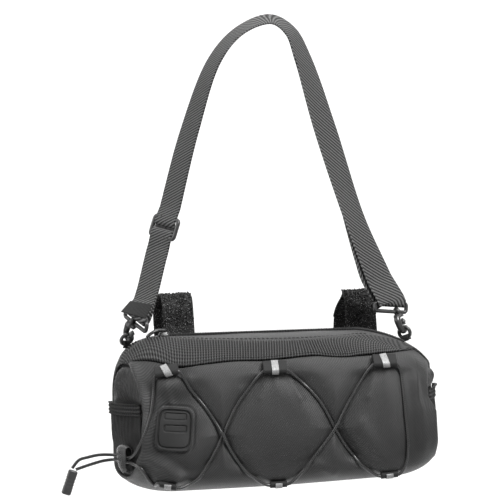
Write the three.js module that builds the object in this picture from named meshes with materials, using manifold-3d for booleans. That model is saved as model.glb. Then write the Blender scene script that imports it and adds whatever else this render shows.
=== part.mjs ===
import * as THREE from "three";
import { mergeVertices } from "three/addons/utils/BufferGeometryUtils.js";
import Module from "manifold-3d";

// A soft handlebar bag hanging by its shoulder strap.
// Millimetres. X runs to the right along the bag, Y to the back of the bag and Z up.
// The sizes below are measured from the middle of the bag's body.

const vec = (x, y, z) => new THREE.Vector3(x, y, z);
const { lerp, clamp, degToRad, smoothstep } = THREE.MathUtils;

// Body: half length at the middle of the depth, slant of the ends, wall, sag of the underside
// and the taper that makes the left side a little taller than the right.
const HALF_LENGTH = 119.5;
const END_SLANT = 0.249;
const WALL = 1.6;
const SAG = 3;
const TAPER = 0.036;
const SEAM = 0.02;
const END_SEAM = 0.012;
const FILLET_FROM = 0.66;

// The body's cross section, from the back of the top over the front and round under to the back.
const PROFILE = [
  { at: "topBack", y: 36, z: 59 },
  { at: "zipBack", y: 6, z: 61.5 },
  { at: "zipFront", y: -1, z: 61.3 },
  { at: "bandTop", y: -19, z: 57 },
  { at: "bandLow", y: -38, z: 42 },
  { at: "frontHigh", y: -44.5, z: 24 },
  { at: "frontMid", y: -47, z: -2 },
  { at: "frontLow", y: -44, z: -30 },
  { at: "frontTurn", y: -33, z: -50 },
  { at: "bottomMid", y: -4, z: -58 },
  { at: "bottomBack", y: 28, z: -56 },
  { at: "backLow", y: 41, z: -42 },
  { at: "backMid", y: 43, z: 0 },
  { at: "backHigh", y: 42, z: 44 },
];

// The seam loop at each end: its top and bottom, where the rounding to it starts along the length,
// how full that rounding is above and below, and how far the end bulges.
const END_CENTRE_Y = 2;
const END_HALF_DEPTH = 38;
const END_POWER = 2.4;
const ENDS = {
  left: { sign: -1, top: 42, bottom: -42, fromTop: 0.7, fromLow: 0.72, fullTop: 1, bulge: 4.5 },
  right: { sign: 1, top: 28, bottom: -40, fromTop: 0.52, fromLow: 0.72, fullTop: 0.75, bulge: -1 },
};

// Gathers in the upper part of an end panel: place across the depth, width and depth of each fold.
const GATHERS = [
  { y: -22, width: 5, fold: 1.4 },
  { y: -9, width: 6, fold: 1.8 },
  { y: 6, width: 6, fold: 1.6 },
  { y: 20, width: 5, fold: 1.2 },
];

// Mesh pocket on each end: hem heights, stand-off at the hem, how far the end behind it lies in,
// and fabric thickness.
const POCKET = { hemLow: 3.5, hemHigh: 12.5, standOff: 4.2, behind: 6, edgeGap: 0.6, cloth: 1, hem: 1.6 };

// Half the straight stretch of cord in a tab.
const EDGE = 10.6;

// Elastic lacing: cord radius, gap that it keeps to the cloth, and the valley that it presses.
const CORD = { radius: 1.25, gap: 0.6, valley: 2.4, valleyWidth: 8, step: 7.2 };

// Folded tabs that lead the lacing: middle of each, reach from its seam, and whether it points down.
const TAB = { halfWidth: 9.2, ply: 0.9, gap: 0.45, room: 0.7 };
const TABS = [
  { name: "top_left", x: -91.5, z: 35.3, reach: 6.5, down: 1 },
  { name: "top_middle", x: -8.8, z: 32.8, reach: 8, down: 1 },
  { name: "top_right", x: 77, z: 33.2, reach: 8, down: 1 },
  { name: "bottom_left", x: -94, z: -48.8, reach: 7, down: -1 },
  { name: "bottom_middle", x: -9, z: -53, reach: 7, down: -1 },
  { name: "bottom_right", x: 78, z: -50.5, reach: 7, down: -1 },
];
const REFLECTOR = { halfWidth: 2.7, thick: 0.5 };

// Runs of the lacing over the front between its tabs, in the cord's order, with the places that
// each passes, the way it enters a tab and the share of the full valley that it presses.
// A run marked over lies on top where two runs cross.
const CROSS_LEFT = { x: -51, z: -14 };
const CROSS_RIGHT = { x: 36, z: -13.5 };
const RUNS = [
  {
    to: "top_left", way: 1, press: 0.5,
    places: [{ x: -106, z: 7 }, { x: -103.8, z: 20 }, { x: -102.5, z: 29 }],
  },
  {
    to: "bottom_middle", way: 1, press: 1, over: true,
    places: [{ x: -75, z: 24.6 }, { x: -64, z: 9.2 }, CROSS_LEFT,
      { x: -44, z: -30 }, { x: -35, z: -42.5 }, { x: -25, z: -50.5 }],
  },
  {
    to: "top_right", way: 1, press: 1, over: true,
    places: [{ x: 8, z: -47 }, { x: 23, z: -32.2 }, CROSS_RIGHT,
      { x: 48, z: 7.4 }, { x: 58, z: 22.6 }],
  },
  {
    to: "bottom_right", way: -1, press: 0.5,
    places: [{ x: 90, z: 27 }, { x: 91, z: 11.6 }, { x: 91.3, z: -3.8 },
      { x: 92.4, z: -19.5 }, { x: 93, z: -33.8 }, { x: 91.5, z: -44 }],
  },
  {
    to: "top_middle", way: -1, press: 1,
    places: [{ x: 65, z: -50 }, { x: 56, z: -45 }, { x: 44.5, z: -30 }, CROSS_RIGHT,
      { x: 25, z: 8.4 }, { x: 12, z: 24.4 }],
  },
  {
    to: "bottom_left", way: -1, press: 1,
    places: [{ x: -28.5, z: 22.8 }, { x: -40.3, z: 7.4 }, CROSS_LEFT,
      { x: -60, z: -28.3 }, { x: -71.4, z: -42.5 }, { x: -80, z: -49 }],
  },
];

// Rounded patch on the front.
const PATCH = { x: -87.3, z: -6.8, halfWidth: 12.6, halfHeight: 16, turn: 6, thick: 1.6, rim: 0.7 };
const PATCH_POWER = 5;

// Webbing of the shoulder strap and the straps for the bar.
const WEBBING = { halfWidth: 12.5, half: 0.75 };
const BAR_STRAPS = { left: { x: -73, drop: 0 }, right: { x: 75.5, drop: 4.5 } };
const PILE_HALF = 0.9;

// Middle line of the shoulder strap's outer ply, and how far its face is turned from the front.
const STRAP_Y = 12;
const STRAP_LINE = [
  { x: -82, z: 152, turn: 54 },
  { x: -60.5, z: 222, turn: 60 },
  { x: -37, z: 279, turn: 70 },
  { x: -16, z: 301, turn: 72 },
  { x: 9, z: 309, turn: 67 },
  { x: 24, z: 299, turn: 60 },
  { x: 33, z: 277, turn: 50 },
  { x: 48.2, z: 220, turn: 37 },
  { x: 68.5, z: 147, turn: 41 },
  { x: 86, z: 98.5, turn: 28 },
];

// Snap hooks: middle of the bar that the webbing turns round, its direction, the way the frame
// and the hook point down, and how far the hook sits off the middle of the frame.
const FITTINGS = {
  left: {
    bar: vec(-110.5, 4.5, 81.6),
    across: vec(0.77, -0.385, -0.496),
    hookDown: vec(-0.279, 0.502, -0.82),
    offset: 0,
    twist: -35,
  },
  right: {
    bar: vec(94.3, 12, 79.5),
    across: vec(0.942, 0.315, -0.108),
    hookDown: vec(0.3, 0, -0.954),
    offset: 6,
    twist: 35,
  },
};
const FRAME = { halfSlot: 13, slot: 5, wire: 2, depth: 2, side: 2.2 };
const HOOK = { inner: 3.2, wire: 2.6, bowZ: -11.4, depth: 3, eye: 2.5, eyeWire: 0.9 };
const GATE = { x: 4.5, z: -6.2, half: 1.1, tip: -12, depth: 2.6, knob: 1.9 };
const RING = { radius: 4.7, wire: 1 };

// Finishes of the pieces.
const FINISH = {
  coated: { color: 0x46484a, roughness: 0.55, metalness: 0 },
  webbing: { color: 0x55585a, roughness: 0.85, metalness: 0 },
  ribbed: { color: 0x4a4c4e, roughness: 0.8, metalness: 0 },
  pile: { color: 0x242526, roughness: 1, metalness: 0 },
  mesh: { color: 0x2c2d2e, roughness: 0.95, metalness: 0 },
  elastic: { color: 0x333435, roughness: 0.8, metalness: 0 },
  plastic: { color: 0x3a3b3d, roughness: 0.4, metalness: 0 },
  reflector: { color: 0xb9bbbd, roughness: 0.35, metalness: 0.2 },
  knob: { color: 0x77797b, roughness: 0.4, metalness: 0 },
};

const bag = new THREE.Group();

// Adds one named piece with its own material.
function add(name, geometry, finish, parent = bag) {
  const mesh = new THREE.Mesh(geometry, new THREE.MeshStandardMaterial(FINISH[finish]));
  mesh.name = name;
  parent.add(mesh);
  return mesh;
}

// A closed solid from vertices and triangles, with its faces turned outwards.
function solid(points, triangles) {
  let volume = 0;
  for (const [a, b, c] of triangles) volume += points[a].dot(points[b].clone().cross(points[c]));
  const index = triangles.flatMap(([a, b, c]) => (volume < 0 ? [a, c, b] : [a, b, c]));
  const geometry = new THREE.BufferGeometry().setFromPoints(points);
  geometry.setIndex(index);
  geometry.computeVertexNormals();
  return geometry;
}

// A wall between two grids of points. A ring closes each row, and a pole ends in one point.
function wall(outer, inner, { ring = false, pole = false } = {}) {
  const points = [];
  const triangles = [];
  const number = (grid) =>
    grid.map((row) => row.map((point) => points.push(point) - 1));
  const out = number(outer);
  const inn = number(inner);
  const last = out.length - 1;
  const columns = out[0].length;
  const strips = ring ? columns : columns - 1;
  const quad = (a, b, c, d) => triangles.push([a, b, c], [a, c, d]);
  for (let i = 0; i < last; i++) {
    for (let j = 0; j < strips; j++) {
      const k = (j + 1) % columns;
      if (pole && i === last - 1) {
        triangles.push([out[i][j], out[last][0], out[i][k]]);
        triangles.push([inn[i][j], inn[i][k], inn[last][0]]);
        continue;
      }
      quad(out[i][j], out[i + 1][j], out[i + 1][k], out[i][k]);
      quad(inn[i][j], inn[i][k], inn[i + 1][k], inn[i + 1][j]);
    }
  }
  for (let j = 0; j < strips; j++) {
    const k = (j + 1) % columns;
    quad(out[0][j], out[0][k], inn[0][k], inn[0][j]);
    if (!pole) quad(out[last][k], out[last][j], inn[last][j], inn[last][k]);
  }
  if (!ring) {
    const end = columns - 1;
    for (let i = 0; i < last; i++) {
      quad(out[i + 1][0], out[i][0], inn[i][0], inn[i + 1][0]);
      quad(out[i][end], out[i + 1][end], inn[i + 1][end], inn[i][end]);
    }
  }
  return solid(points, triangles);
}

// A strip of webbing through stations with a middle, a half-width and a half-thickness direction.
function ribbon(stations) {
  const points = stations.flatMap(({ middle, across, through }) => [
    middle.clone().add(across).add(through),
    middle.clone().sub(across).add(through),
    middle.clone().sub(across).sub(through),
    middle.clone().add(across).sub(through),
  ]);
  const triangles = [];
  const quad = (a, b, c, d) => triangles.push([a, b, c], [a, c, d]);
  const end = 4 * (stations.length - 1);
  for (let i = 0; i < end; i += 4) {
    for (let k = 0; k < 4; k++) {
      const n = (k + 1) % 4;
      quad(i + k, i + 4 + k, i + 4 + n, i + n);
    }
  }
  quad(0, 1, 2, 3);
  quad(end + 3, end + 2, end + 1, end);
  return solid(points, triangles);
}

// A strip whose width runs one way, along a path of points, thick at right angles to both.
function strip(path, across, half) {
  return ribbon(
    path.map((middle, i) => {
      const along = path[Math.min(i + 1, path.length - 1)].clone();
      along.sub(path[Math.max(i - 1, 0)]);
      const through = along.cross(across).setLength(half);
      return { middle, across, through };
    }),
  );
}

// A round cord along a curve.
function tube(curve, radius, steps, sides = 8) {
  const shape = new THREE.Shape();
  for (let k = 0; k < sides; k++) {
    const angle = (2 * Math.PI * k) / sides;
    const x = radius * Math.cos(angle);
    const y = radius * Math.sin(angle);
    if (k) shape.lineTo(x, y);
    else shape.moveTo(x, y);
  }
  curve.arcLengthDivisions = 1200;
  return new THREE.ExtrudeGeometry(shape, { steps, bevelEnabled: false, extrudePath: curve });
}

// A flat plate of a shape drawn in X and Z, centred on its thickness.
function plate(shape, depth, curveSegments = 5) {
  const geometry = new THREE.ExtrudeGeometry(shape, { depth, bevelEnabled: false, curveSegments });
  return geometry.rotateX(Math.PI / 2).translate(0, depth / 2, 0);
}

// A rectangle with rounded corners about a point.
function roundedRectangle(x, z, halfWidth, halfHeight, radius, Kind = THREE.Shape) {
  const path = new Kind();
  const [w, h] = [halfWidth - radius, halfHeight - radius];
  path.moveTo(x + halfWidth, z - h);
  path.absarc(x + w, z + h, radius, 0, Math.PI / 2);
  path.absarc(x - w, z + h, radius, Math.PI / 2, Math.PI);
  path.absarc(x - w, z - h, radius, Math.PI, 1.5 * Math.PI);
  path.absarc(x + w, z - h, radius, 1.5 * Math.PI, 2 * Math.PI);
  return path;
}

const wasm = await Module();
wasm.setup();

// Joins closed geometries into one solid.
function join(...geometries) {
  const made = geometries.map((geometry) => {
    const bare = geometry.clone();
    bare.deleteAttribute("normal");
    bare.deleteAttribute("uv");
    const merged = mergeVertices(bare, 1e-4);
    const vertProperties = new Float32Array(merged.attributes.position.array);
    const triVerts = new Uint32Array(merged.index.array);
    return new wasm.Manifold(new wasm.Mesh({ numProp: 3, vertProperties, triVerts }));
  });
  const whole = made.reduce((sum, next) => sum.add(next)).getMesh();
  const geometry = new THREE.BufferGeometry();
  const positions = new Float32Array(whole.vertProperties);
  geometry.setAttribute("position", new THREE.BufferAttribute(positions, 3));
  geometry.setIndex(new THREE.BufferAttribute(new Uint32Array(whole.triVerts), 1));
  geometry.computeVertexNormals();
  return geometry;
}

// Body surface
const knot = Object.fromEntries(PROFILE.map((row, i) => [row.at, i]));
const profileCurve = new THREE.CatmullRomCurve3(
  PROFILE.map((row) => vec(0, row.y, row.z)),
  true,
  "centripetal",
);
const section = (t) => profileCurve.getPoint((t / PROFILE.length) % 1);

// Half length of the body at a depth: the ends slant towards the front.
const lengthAt = (y) => HALF_LENGTH + END_SLANT * y;

// Share of the way from the middle of an end to its seam, at a depth and height.
function endShare(end, y, z) {
  const middle = (end.top + end.bottom) / 2;
  const half = (end.top - end.bottom) / 2;
  const across = Math.abs((y - END_CENTRE_Y) / END_HALF_DEPTH) ** END_POWER;
  const up = Math.abs((z - middle) / half) ** END_POWER;
  return (across + up) ** (1 / END_POWER);
}

// The body's undented surface: s runs along the bag from -1 to 1 and t round the profile.
function bodyBase(s, t) {
  const end = s < 0 ? ENDS.left : ENDS.right;
  const point = section(t);
  const high = smoothstep(point.z, 36, 60);
  const from = lerp(end.fromLow, end.fromTop, high);
  const share = Math.min(Math.abs(s), 1);
  let along = (from * share) / FILLET_FROM;
  let round = 0;
  if (share > FILLET_FROM) {
    const angle = ((share - FILLET_FROM) / (1 - FILLET_FROM)) * (Math.PI / 2);
    along = from + (1 - from) * Math.sin(angle);
    round = (1 - Math.cos(angle)) ** lerp(1, end.fullTop, high);
  }
  const middle = (end.top + end.bottom) / 2;
  const reach = endShare(end, point.y, point.z);
  const seamY = END_CENTRE_Y + (point.y - END_CENTRE_Y) / reach;
  const seamZ = middle + (point.z - middle) / reach;
  const sag = SAG * (1 - along * along) * Math.max(0, -point.z / 58);
  const z = lerp(point.z * (1 - TAPER * end.sign * along) - sag, seamZ, round);
  const y = lerp(point.y, seamY, round);
  return vec(end.sign * along * lengthAt(y), y, z);
}

// Outward direction of the undented surface.
function bodyNormal(s, t) {
  const d = 0.004;
  const lo = bodyBase(clamp(s - d, -1, 1), t);
  const hi = bodyBase(clamp(s + d, -1, 1), t);
  const along = hi.sub(lo);
  const round = bodyBase(s, t + 0.02).sub(bodyBase(s, t - 0.02 + PROFILE.length));
  const normal = along.cross(round).normalize();
  const place = bodyBase(s, t);
  const outward = vec(place.x * 0.4, place.y, place.z);
  return normal.dot(outward) < 0 ? normal.negate() : normal;
}

// Each run as a smooth line in X and Z from the tab before it to its own tab.
const tab = Object.fromEntries(TABS.map((row) => [row.name, row]));
const runLines = RUNS.map((run, i) => {
  const from = RUNS[i - 1];
  const start = from ? [{ x: tab[from.to].x + from.way * EDGE, z: tab[from.to].z }] : [];
  const finish = { x: tab[run.to].x - run.way * EDGE, z: tab[run.to].z };
  const places = [...start, ...run.places, finish].map(({ x, z }) => vec(x, 0, z));
  const line = new THREE.CatmullRomCurve3(places, false, "centripetal");
  return line.getSpacedPoints(Math.max(3, Math.round(line.getLength() / CORD.step)));
});

// Depth of the valleys that the runs press at a place on the front.
function valley(place) {
  if (place.y > -20) return 0;
  const flat = vec(place.x, 0, place.z);
  const near = vec();
  let depth = 0;
  runLines.forEach((points, i) => {
    for (let k = 1; k < points.length; k++) {
      new THREE.Line3(points[k - 1], points[k]).closestPointToPoint(flat, true, near);
      const press = Math.exp(-((near.distanceTo(flat) / CORD.valleyWidth) ** 2));
      depth = Math.max(depth, CORD.valley * RUNS[i].press * press);
    }
  });
  return depth * smoothstep(-place.y, 20, 34);
}

// A point on the dented body surface, raised by a distance.
function bodyPoint(s, t, raise = 0) {
  const place = bodyBase(s, t);
  return place.clone().addScaledVector(bodyNormal(s, t), raise - valley(place));
}

// A panel of the body between two knots of the profile.
function panel(fromKnot, toKnot, along, round, thick, lift = 0) {
  const outer = [];
  const inner = [];
  for (let i = 0; i <= along; i++) {
    const s = lerp(-1 + END_SEAM, 1 - END_SEAM, i / along);
    const ts = Array.from({ length: round + 1 }, (_, j) =>
      lerp(fromKnot + SEAM, toKnot - SEAM, j / round));
    outer.push(ts.map((t) => bodyPoint(s, t, lift)));
    inner.push(ts.map((t) => bodyPoint(s, t, lift - thick)));
  }
  return wall(outer, inner);
}

const frontPanel = add("front_panel",
  panel(knot.bandLow, knot.bottomMid, 34, 15, WALL), "coated");
add("back_panel", panel(knot.bottomMid, PROFILE.length, 18, 8, WALL), "coated");
add("top_panel", panel(knot.topBack, knot.zipBack, 18, 3, WALL), "coated");
add("zip_tape", panel(knot.zipBack, knot.zipFront, 18, 1, 1.2, -0.4), "webbing");
add("top_flap", panel(knot.zipFront, knot.bandTop, 18, 2, WALL), "coated");
add("ribbed_band", panel(knot.bandTop, knot.bandLow, 22, 3, WALL + 0.8, 0.8), "ribbed");

// Ends: a bulged wall inside the seam loop, gathered above the pocket.
function endOut(end, y, z, raise = 0) {
  const share = Math.min(endShare(end, y, z), 1);
  const upper = smoothstep(z, POCKET.hemHigh, POCKET.hemHigh + 12) * (1 - share ** 4);
  let fold = 0;
  for (const row of GATHERS) fold += row.fold * Math.exp(-(((y - row.y) / row.width) ** 2));
  const swell = end.bulge * (1 - share * share) + upper * (fold + 1);
  return vec(end.sign * (lengthAt(y) + swell + raise), y, z);
}

function endPanel(end) {
  const rings = [0.955, 0.8, 0.55, 0.28, 0];
  const turns = 26;
  const middle = (end.top + end.bottom) / 2;
  const half = (end.top - end.bottom) / 2;
  const ringOf = (share, raise) =>
    Array.from({ length: share ? turns : 1 }, (_, k) => {
      const angle = (2 * Math.PI * k) / turns;
      const y = Math.cos(angle) * END_HALF_DEPTH;
      const z = Math.sin(angle) * half;
      const reach = endShare(end, END_CENTRE_Y + y, middle + z);
      const grow = share / reach;
      const height = middle + z * grow;
      const low = 1 - smoothstep(height, POCKET.hemLow, POCKET.hemHigh + 16);
      const inward = POCKET.behind * low * (1 - share * share);
      return endOut(end, END_CENTRE_Y + y * grow, height, raise - inward);
    });
  return wall(
    rings.map((share) => ringOf(share, 0)),
    rings.map((share) => ringOf(share, -WALL)),
    { ring: true, pole: true },
  );
}

// Half the depth of an end's seam loop at a height.
function endHalfDepth(end, z) {
  const middle = (end.top + end.bottom) / 2;
  const half = (end.top - end.bottom) / 2;
  const up = Math.min(Math.abs((z - middle) / half), 1) ** END_POWER;
  return END_HALF_DEPTH * (1 - up) ** (1 / END_POWER);
}

// Pocket cloth over the lower part of an end, standing off towards its hem.
function pocketPoint(end, across, z, raise) {
  const depth = endHalfDepth(end, z) * 0.94;
  const y = END_CENTRE_Y + across * depth;
  const up = smoothstep(z, end.bottom, POCKET.hemLow);
  const off = POCKET.edgeGap + POCKET.standOff * up * (1 - Math.abs(across) ** 2.5);
  return endOut(end, y, z, off + raise);
}

function pocketWall(end, low, high, rows, thick) {
  const grid = (raise) =>
    Array.from({ length: rows + 1 }, (_, i) =>
      Array.from({ length: 11 }, (_, j) =>
        pocketPoint(end, j / 5 - 1, lerp(low, high, i / rows), raise)));
  return wall(grid(thick), grid(0));
}

for (const [name, end] of Object.entries(ENDS)) {
  add("end_panel_" + name, endPanel(end), "coated");
  add("mesh_pocket_" + name,
    pocketWall(end, end.bottom + 3, POCKET.hemLow - 0.2, 5, POCKET.cloth), "mesh");
  add("pocket_hem_" + name,
    pocketWall(end, POCKET.hemLow + 0.2, POCKET.hemHigh, 1, POCKET.hem), "elastic");
}

// Resting on the cloth: the place on the front panel under a given X and Z.
function frontPlace(x, z) {
  let s = x / HALF_LENGTH;
  let t = knot.frontMid;
  for (let pass = 0; pass < 8; pass++) {
    let [low, high] = [knot.bandLow, knot.bottomMid];
    for (let k = 0; k < 24; k++) {
      t = (low + high) / 2;
      if (bodyBase(s, t).z > z) low = t;
      else high = t;
    }
    let [left, right] = [-1, 1];
    for (let k = 0; k < 24; k++) {
      s = (left + right) / 2;
      if (bodyBase(s, t).x < x) left = s;
      else right = s;
    }
  }
  return { s, t };
}

bag.updateMatrixWorld(true);
const caster = new THREE.Raycaster();

// A point clear of the given pieces by a distance, found along a direction over a footprint
// with a half width and a half height.
const FOOT = [-1, -0.5, 0, 0.5, 1];

function restOn(pieces, place, normal, distance, wide = 1.3, high = wide) {
  const one = vec(normal.z > 0.9 ? 0 : normal.y, normal.z > 0.9 ? 1 : -normal.x, 0).normalize();
  const two = normal.clone().cross(one);
  let height = -1e3;
  for (const [a, b] of FOOT.flatMap((a) => FOOT.map((b) => [a, b]))) {
    const from = place.clone().addScaledVector(one, a * wide);
    from.addScaledVector(two, b * high).addScaledVector(normal, 40);
    caster.set(from, normal.clone().negate());
    const hit = caster.intersectObjects(pieces, false)[0];
    if (hit) height = Math.max(height, 40 - hit.distance);
  }
  return place.clone().addScaledVector(normal, (height < -900 ? 0 : height) + distance);
}

// A point over the front panel at X and Z, clear of it by a distance.
function overFront(x, z, distance, wide, high) {
  const { s, t } = frontPlace(x, z);
  return restOn([frontPanel], bodyBase(s, t), bodyNormal(s, t), distance, wide, high);
}

// Cord tabs: two plies from the seam that fold round the cord.
const PLY_ONE = TAB.gap + TAB.ply / 2;
const CORD_IN_TAB = TAB.gap + TAB.ply + TAB.room + CORD.radius;
const FOLD = CORD.radius + TAB.room + TAB.ply / 2;

function tabPath(row) {
  const { s, t } = frontPlace(row.x, row.z);
  const normal = bodyNormal(s, t);
  const across = bodyBase(s + 0.03, t).sub(bodyBase(s - 0.03, t)).normalize();
  const down = across.clone().cross(normal).normalize();
  if (down.z * row.down > 0) down.negate();
  const cordPoint = overFront(row.x, row.z, CORD_IN_TAB, TAB.halfWidth, row.reach);
  const local = (along, out) =>
    cordPoint.clone().addScaledVector(down, along).addScaledVector(normal, out - CORD_IN_TAB);
  const path = [local(-row.reach, PLY_ONE), local(-row.reach / 2, PLY_ONE)];
  for (let k = 0; k <= 4; k++) {
    const angle = degToRad(-90 + 45 * k);
    path.push(local(FOLD * Math.cos(angle), CORD_IN_TAB + FOLD * Math.sin(angle)));
  }
  path.push(local(-row.reach / 2, CORD_IN_TAB + FOLD - 1.2));
  path.push(local(-row.reach, PLY_ONE + TAB.ply + TAB.gap));
  return { path, cordPoint, across };
}

const tabMade = {};
for (const row of TABS) {
  const { path, cordPoint, across } = tabPath(row);
  tabMade[row.name] = { cordPoint, across };
  const half = across.clone().multiplyScalar(TAB.halfWidth);
  add("cord_tab_" + row.name, strip(path, half, TAB.ply / 2), "webbing");
  const outside = path.slice(4);
  const face = outside.map((point, i) => {
    const along = outside[Math.min(i + 1, outside.length - 1)].clone();
    along.sub(outside[Math.max(i - 1, 0)]);
    const out = along.cross(across).normalize();
    if (out.dot(point.clone().sub(cordPoint)) < 0) out.negate();
    return point.clone().addScaledVector(out, TAB.ply / 2 + 0.3 + REFLECTOR.thick / 2);
  });
  add("reflector_" + row.name,
    strip(face, across.clone().multiplyScalar(REFLECTOR.halfWidth), REFLECTOR.thick / 2), "reflector");
}

// Lacing: one elastic cord from the tunnel on the left end through all six tabs and back.
const leftEnd = ["front_panel", "end_panel_left", "mesh_pocket_left", "pocket_hem_left"].map((name) =>
  bag.getObjectByName(name));

// A point over the left end at Y and Z, clear of its outermost layer by a distance.
function overLeftEnd(y, z, distance, wide = 1.6, high = wide) {
  const place = endOut(ENDS.left, y, z);
  const d = 2;
  const dy = endOut(ENDS.left, y + d, z).sub(endOut(ENDS.left, y - d, z));
  const dz = endOut(ENDS.left, y, z + d).sub(endOut(ENDS.left, y, z - d));
  const normal = dy.cross(dz).normalize();
  if (normal.x > 0) normal.negate();
  return restOn(leftEnd, place, normal, distance, wide, high);
}

const lift = CORD.radius + CORD.gap;

// A run laid on the front, with a rise where it passes over another.
const OVER = 2 * CORD.radius + 0.5;

function laid(i) {
  const points = i ? runLines[i].slice(1, -1) : runLines[i].slice(0, -1);
  return points.map(({ x, z }) => {
    const away = Math.min(...[CROSS_LEFT, CROSS_RIGHT].map((cross) =>
      Math.hypot(x - cross.x, z - cross.z)));
    const rise = RUNS[i].over ? OVER * Math.exp(-((away / 8) ** 2)) : 0;
    return overFront(x, z, lift + rise);
  });
}

// The cord inside a tab, from one side of it to the other.
function throughTab(name, way) {
  const { cordPoint, across } = tabMade[name];
  return [-EDGE, 0, EDGE].map((dx) => cordPoint.clone().addScaledVector(across, dx * way));
}

// Places where the cord leaves the front and turns round the lower left corner to the tunnel.
const TUNNEL = { y: -12, z: -29.5, halfLength: 9, cordGap: 1.6, low: -43, high: -20 };
const UPPER_TURN = [
  { y: -26, z: -21.8 },
  { y: -30.5, z: -14 },
  { y: -33, z: -6 },
];
const LOWER_TURN = [
  { y: -25, z: -38 },
  { y: -22.5, z: -34.5 },
];
const tunnelMiddle = overLeftEnd(TUNNEL.y, TUNNEL.z, CORD.radius + 3.2, 9, 9);
const tunnelBefore = overLeftEnd(TUNNEL.y - TUNNEL.halfLength, TUNNEL.z, CORD.radius + 2.2);
const tunnelAfter = overLeftEnd(TUNNEL.y + TUNNEL.halfLength, TUNNEL.z, CORD.radius + 2.2);
const tunnelAlong = tunnelAfter.clone().sub(tunnelBefore);
tunnelAlong.z = 0;
tunnelAlong.normalize();
const tunnelOut = vec(tunnelAlong.y, -tunnelAlong.x, 0);
if (tunnelOut.x > 0) tunnelOut.negate();
const inTunnel = (along, rise, out = 0) =>
  tunnelMiddle.clone().addScaledVector(tunnelAlong, along)
    .addScaledVector(tunnelOut, out).add(vec(0, 0, rise));

const lacingPoints = [
  inTunnel(-1, TUNNEL.cordGap),
  inTunnel(-TUNNEL.halfLength + 1, TUNNEL.cordGap),
  ...UPPER_TURN.map(({ y, z }) => overLeftEnd(y, z, lift + 0.2)),
  ...RUNS.flatMap((run, i) => [...laid(i), ...throughTab(run.to, run.way)]),
  overFront(-107, -46.6, lift + 0.4),
  ...LOWER_TURN.map(({ y, z }) => overLeftEnd(y, z, lift + 0.2)),
  inTunnel(-TUNNEL.halfLength + 1, -TUNNEL.cordGap),
  inTunnel(-1, -TUNNEL.cordGap),
];
const lacing = new THREE.CatmullRomCurve3(lacingPoints, false, "centripetal");
add("bungee_lacing", tube(lacing, CORD.radius, 124), "elastic");

// Webbing folded over the two cord ends on the left end.
const tunnelHalf = CORD.radius + 1.1 + 0.45;
const tunnelPath = [inTunnel(0, TUNNEL.low - TUNNEL.z, -tunnelHalf), inTunnel(0, 3, -tunnelHalf)];
for (let k = 0; k <= 4; k++) {
  const angle = degToRad(180 - 45 * k);
  const rise = TUNNEL.high - TUNNEL.z - tunnelHalf + tunnelHalf * Math.sin(angle);
  tunnelPath.push(inTunnel(0, rise, tunnelHalf * Math.cos(angle)));
}
tunnelPath.push(inTunnel(0, -2, tunnelHalf));
tunnelPath.push(inTunnel(0, TUNNEL.low - TUNNEL.z, tunnelHalf));
const tunnelWidth = tunnelAlong.clone().multiplyScalar(TUNNEL.halfLength - 1);
add("cord_tunnel", strip(tunnelPath, tunnelWidth, 0.45), "webbing");

// Free ends of the cord and the clip that holds them together.
const CLIP = { x: -167.9, y: 12, z: -48, halfWidth: 3.8, halfHeight: 10, thick: 5.5, tilt: 20.8 };
const clipGroup = new THREE.Group();
clipGroup.position.set(CLIP.x, CLIP.y, CLIP.z);
clipGroup.rotation.y = degToRad(CLIP.tilt);
bag.add(clipGroup);
const clipShape = roundedRectangle(0, 0, CLIP.halfWidth, CLIP.halfHeight, 1.6);
add("cord_end_clip", plate(clipShape, CLIP.thick, 3), "plastic", clipGroup);
clipGroup.updateMatrixWorld(true);
const clipTop = (dx, dy) => clipGroup.localToWorld(vec(dx, dy, CLIP.halfHeight + 1.1));

const TAILS = {
  upper: {
    rise: 1,
    top: [-1.4, 1.4],
    way: [
      { x: -131, y: 5, z: -28.2 },
      { x: -143.8, y: 9, z: -27.6 },
      { x: -153.2, y: 11, z: -29.2 },
      { x: -159.7, y: 12.5, z: -31 },
    ],
  },
  lower: {
    rise: -1,
    top: [1.4, -1.4],
    way: [
      { x: -131, y: 4.5, z: -31.6 },
      { x: -140, y: 8, z: -32.2 },
      { x: -148, y: 9.5, z: -34 },
      { x: -155.5, y: 10.3, z: -36 },
    ],
  },
};
for (const [name, tail] of Object.entries(TAILS)) {
  const points = [
    inTunnel(-0.6, tail.rise * TUNNEL.cordGap),
    inTunnel(TUNNEL.halfLength - 1, tail.rise * TUNNEL.cordGap),
    ...tail.way.map(({ x, y, z }) => vec(x, y, z)),
    clipTop(...tail.top),
  ];
  const curve = new THREE.CatmullRomCurve3(points, false, "centripetal");
  add("bungee_tail_" + name, tube(curve, CORD.radius, 14), "elastic");
}

// Patch: a thin rounded plate that follows the front, with a raised rim.
const PATCH_RINGS = [
  { share: 1, raise: 1 },
  { share: 0.9, raise: 1 },
  { share: 0.84, raise: 0 },
  { share: 0.45, raise: 0 },
  { share: 0, raise: 0 },
];
const patchGrid = (base, rimmed) =>
  PATCH_RINGS.map(({ share, raise }) =>
    Array.from({ length: share ? 20 : 1 }, (_, k) => {
      const angle = (2 * Math.PI * (k + 0.5)) / 20;
      const [c, d] = [Math.cos(angle), Math.sin(angle)];
      const grow = (Math.abs(c) ** PATCH_POWER + Math.abs(d) ** PATCH_POWER) ** (-1 / PATCH_POWER);
      const [a, b] = [share * grow * c * PATCH.halfWidth, share * grow * d * PATCH.halfHeight];
      const turn = degToRad(PATCH.turn);
      const x = PATCH.x + a * Math.cos(turn) + b * Math.sin(turn);
      const z = PATCH.z - a * Math.sin(turn) + b * Math.cos(turn);
      return overFront(x, z, base + (rimmed ? raise * PATCH.rim : 0), 2.5);
    }));
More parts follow.
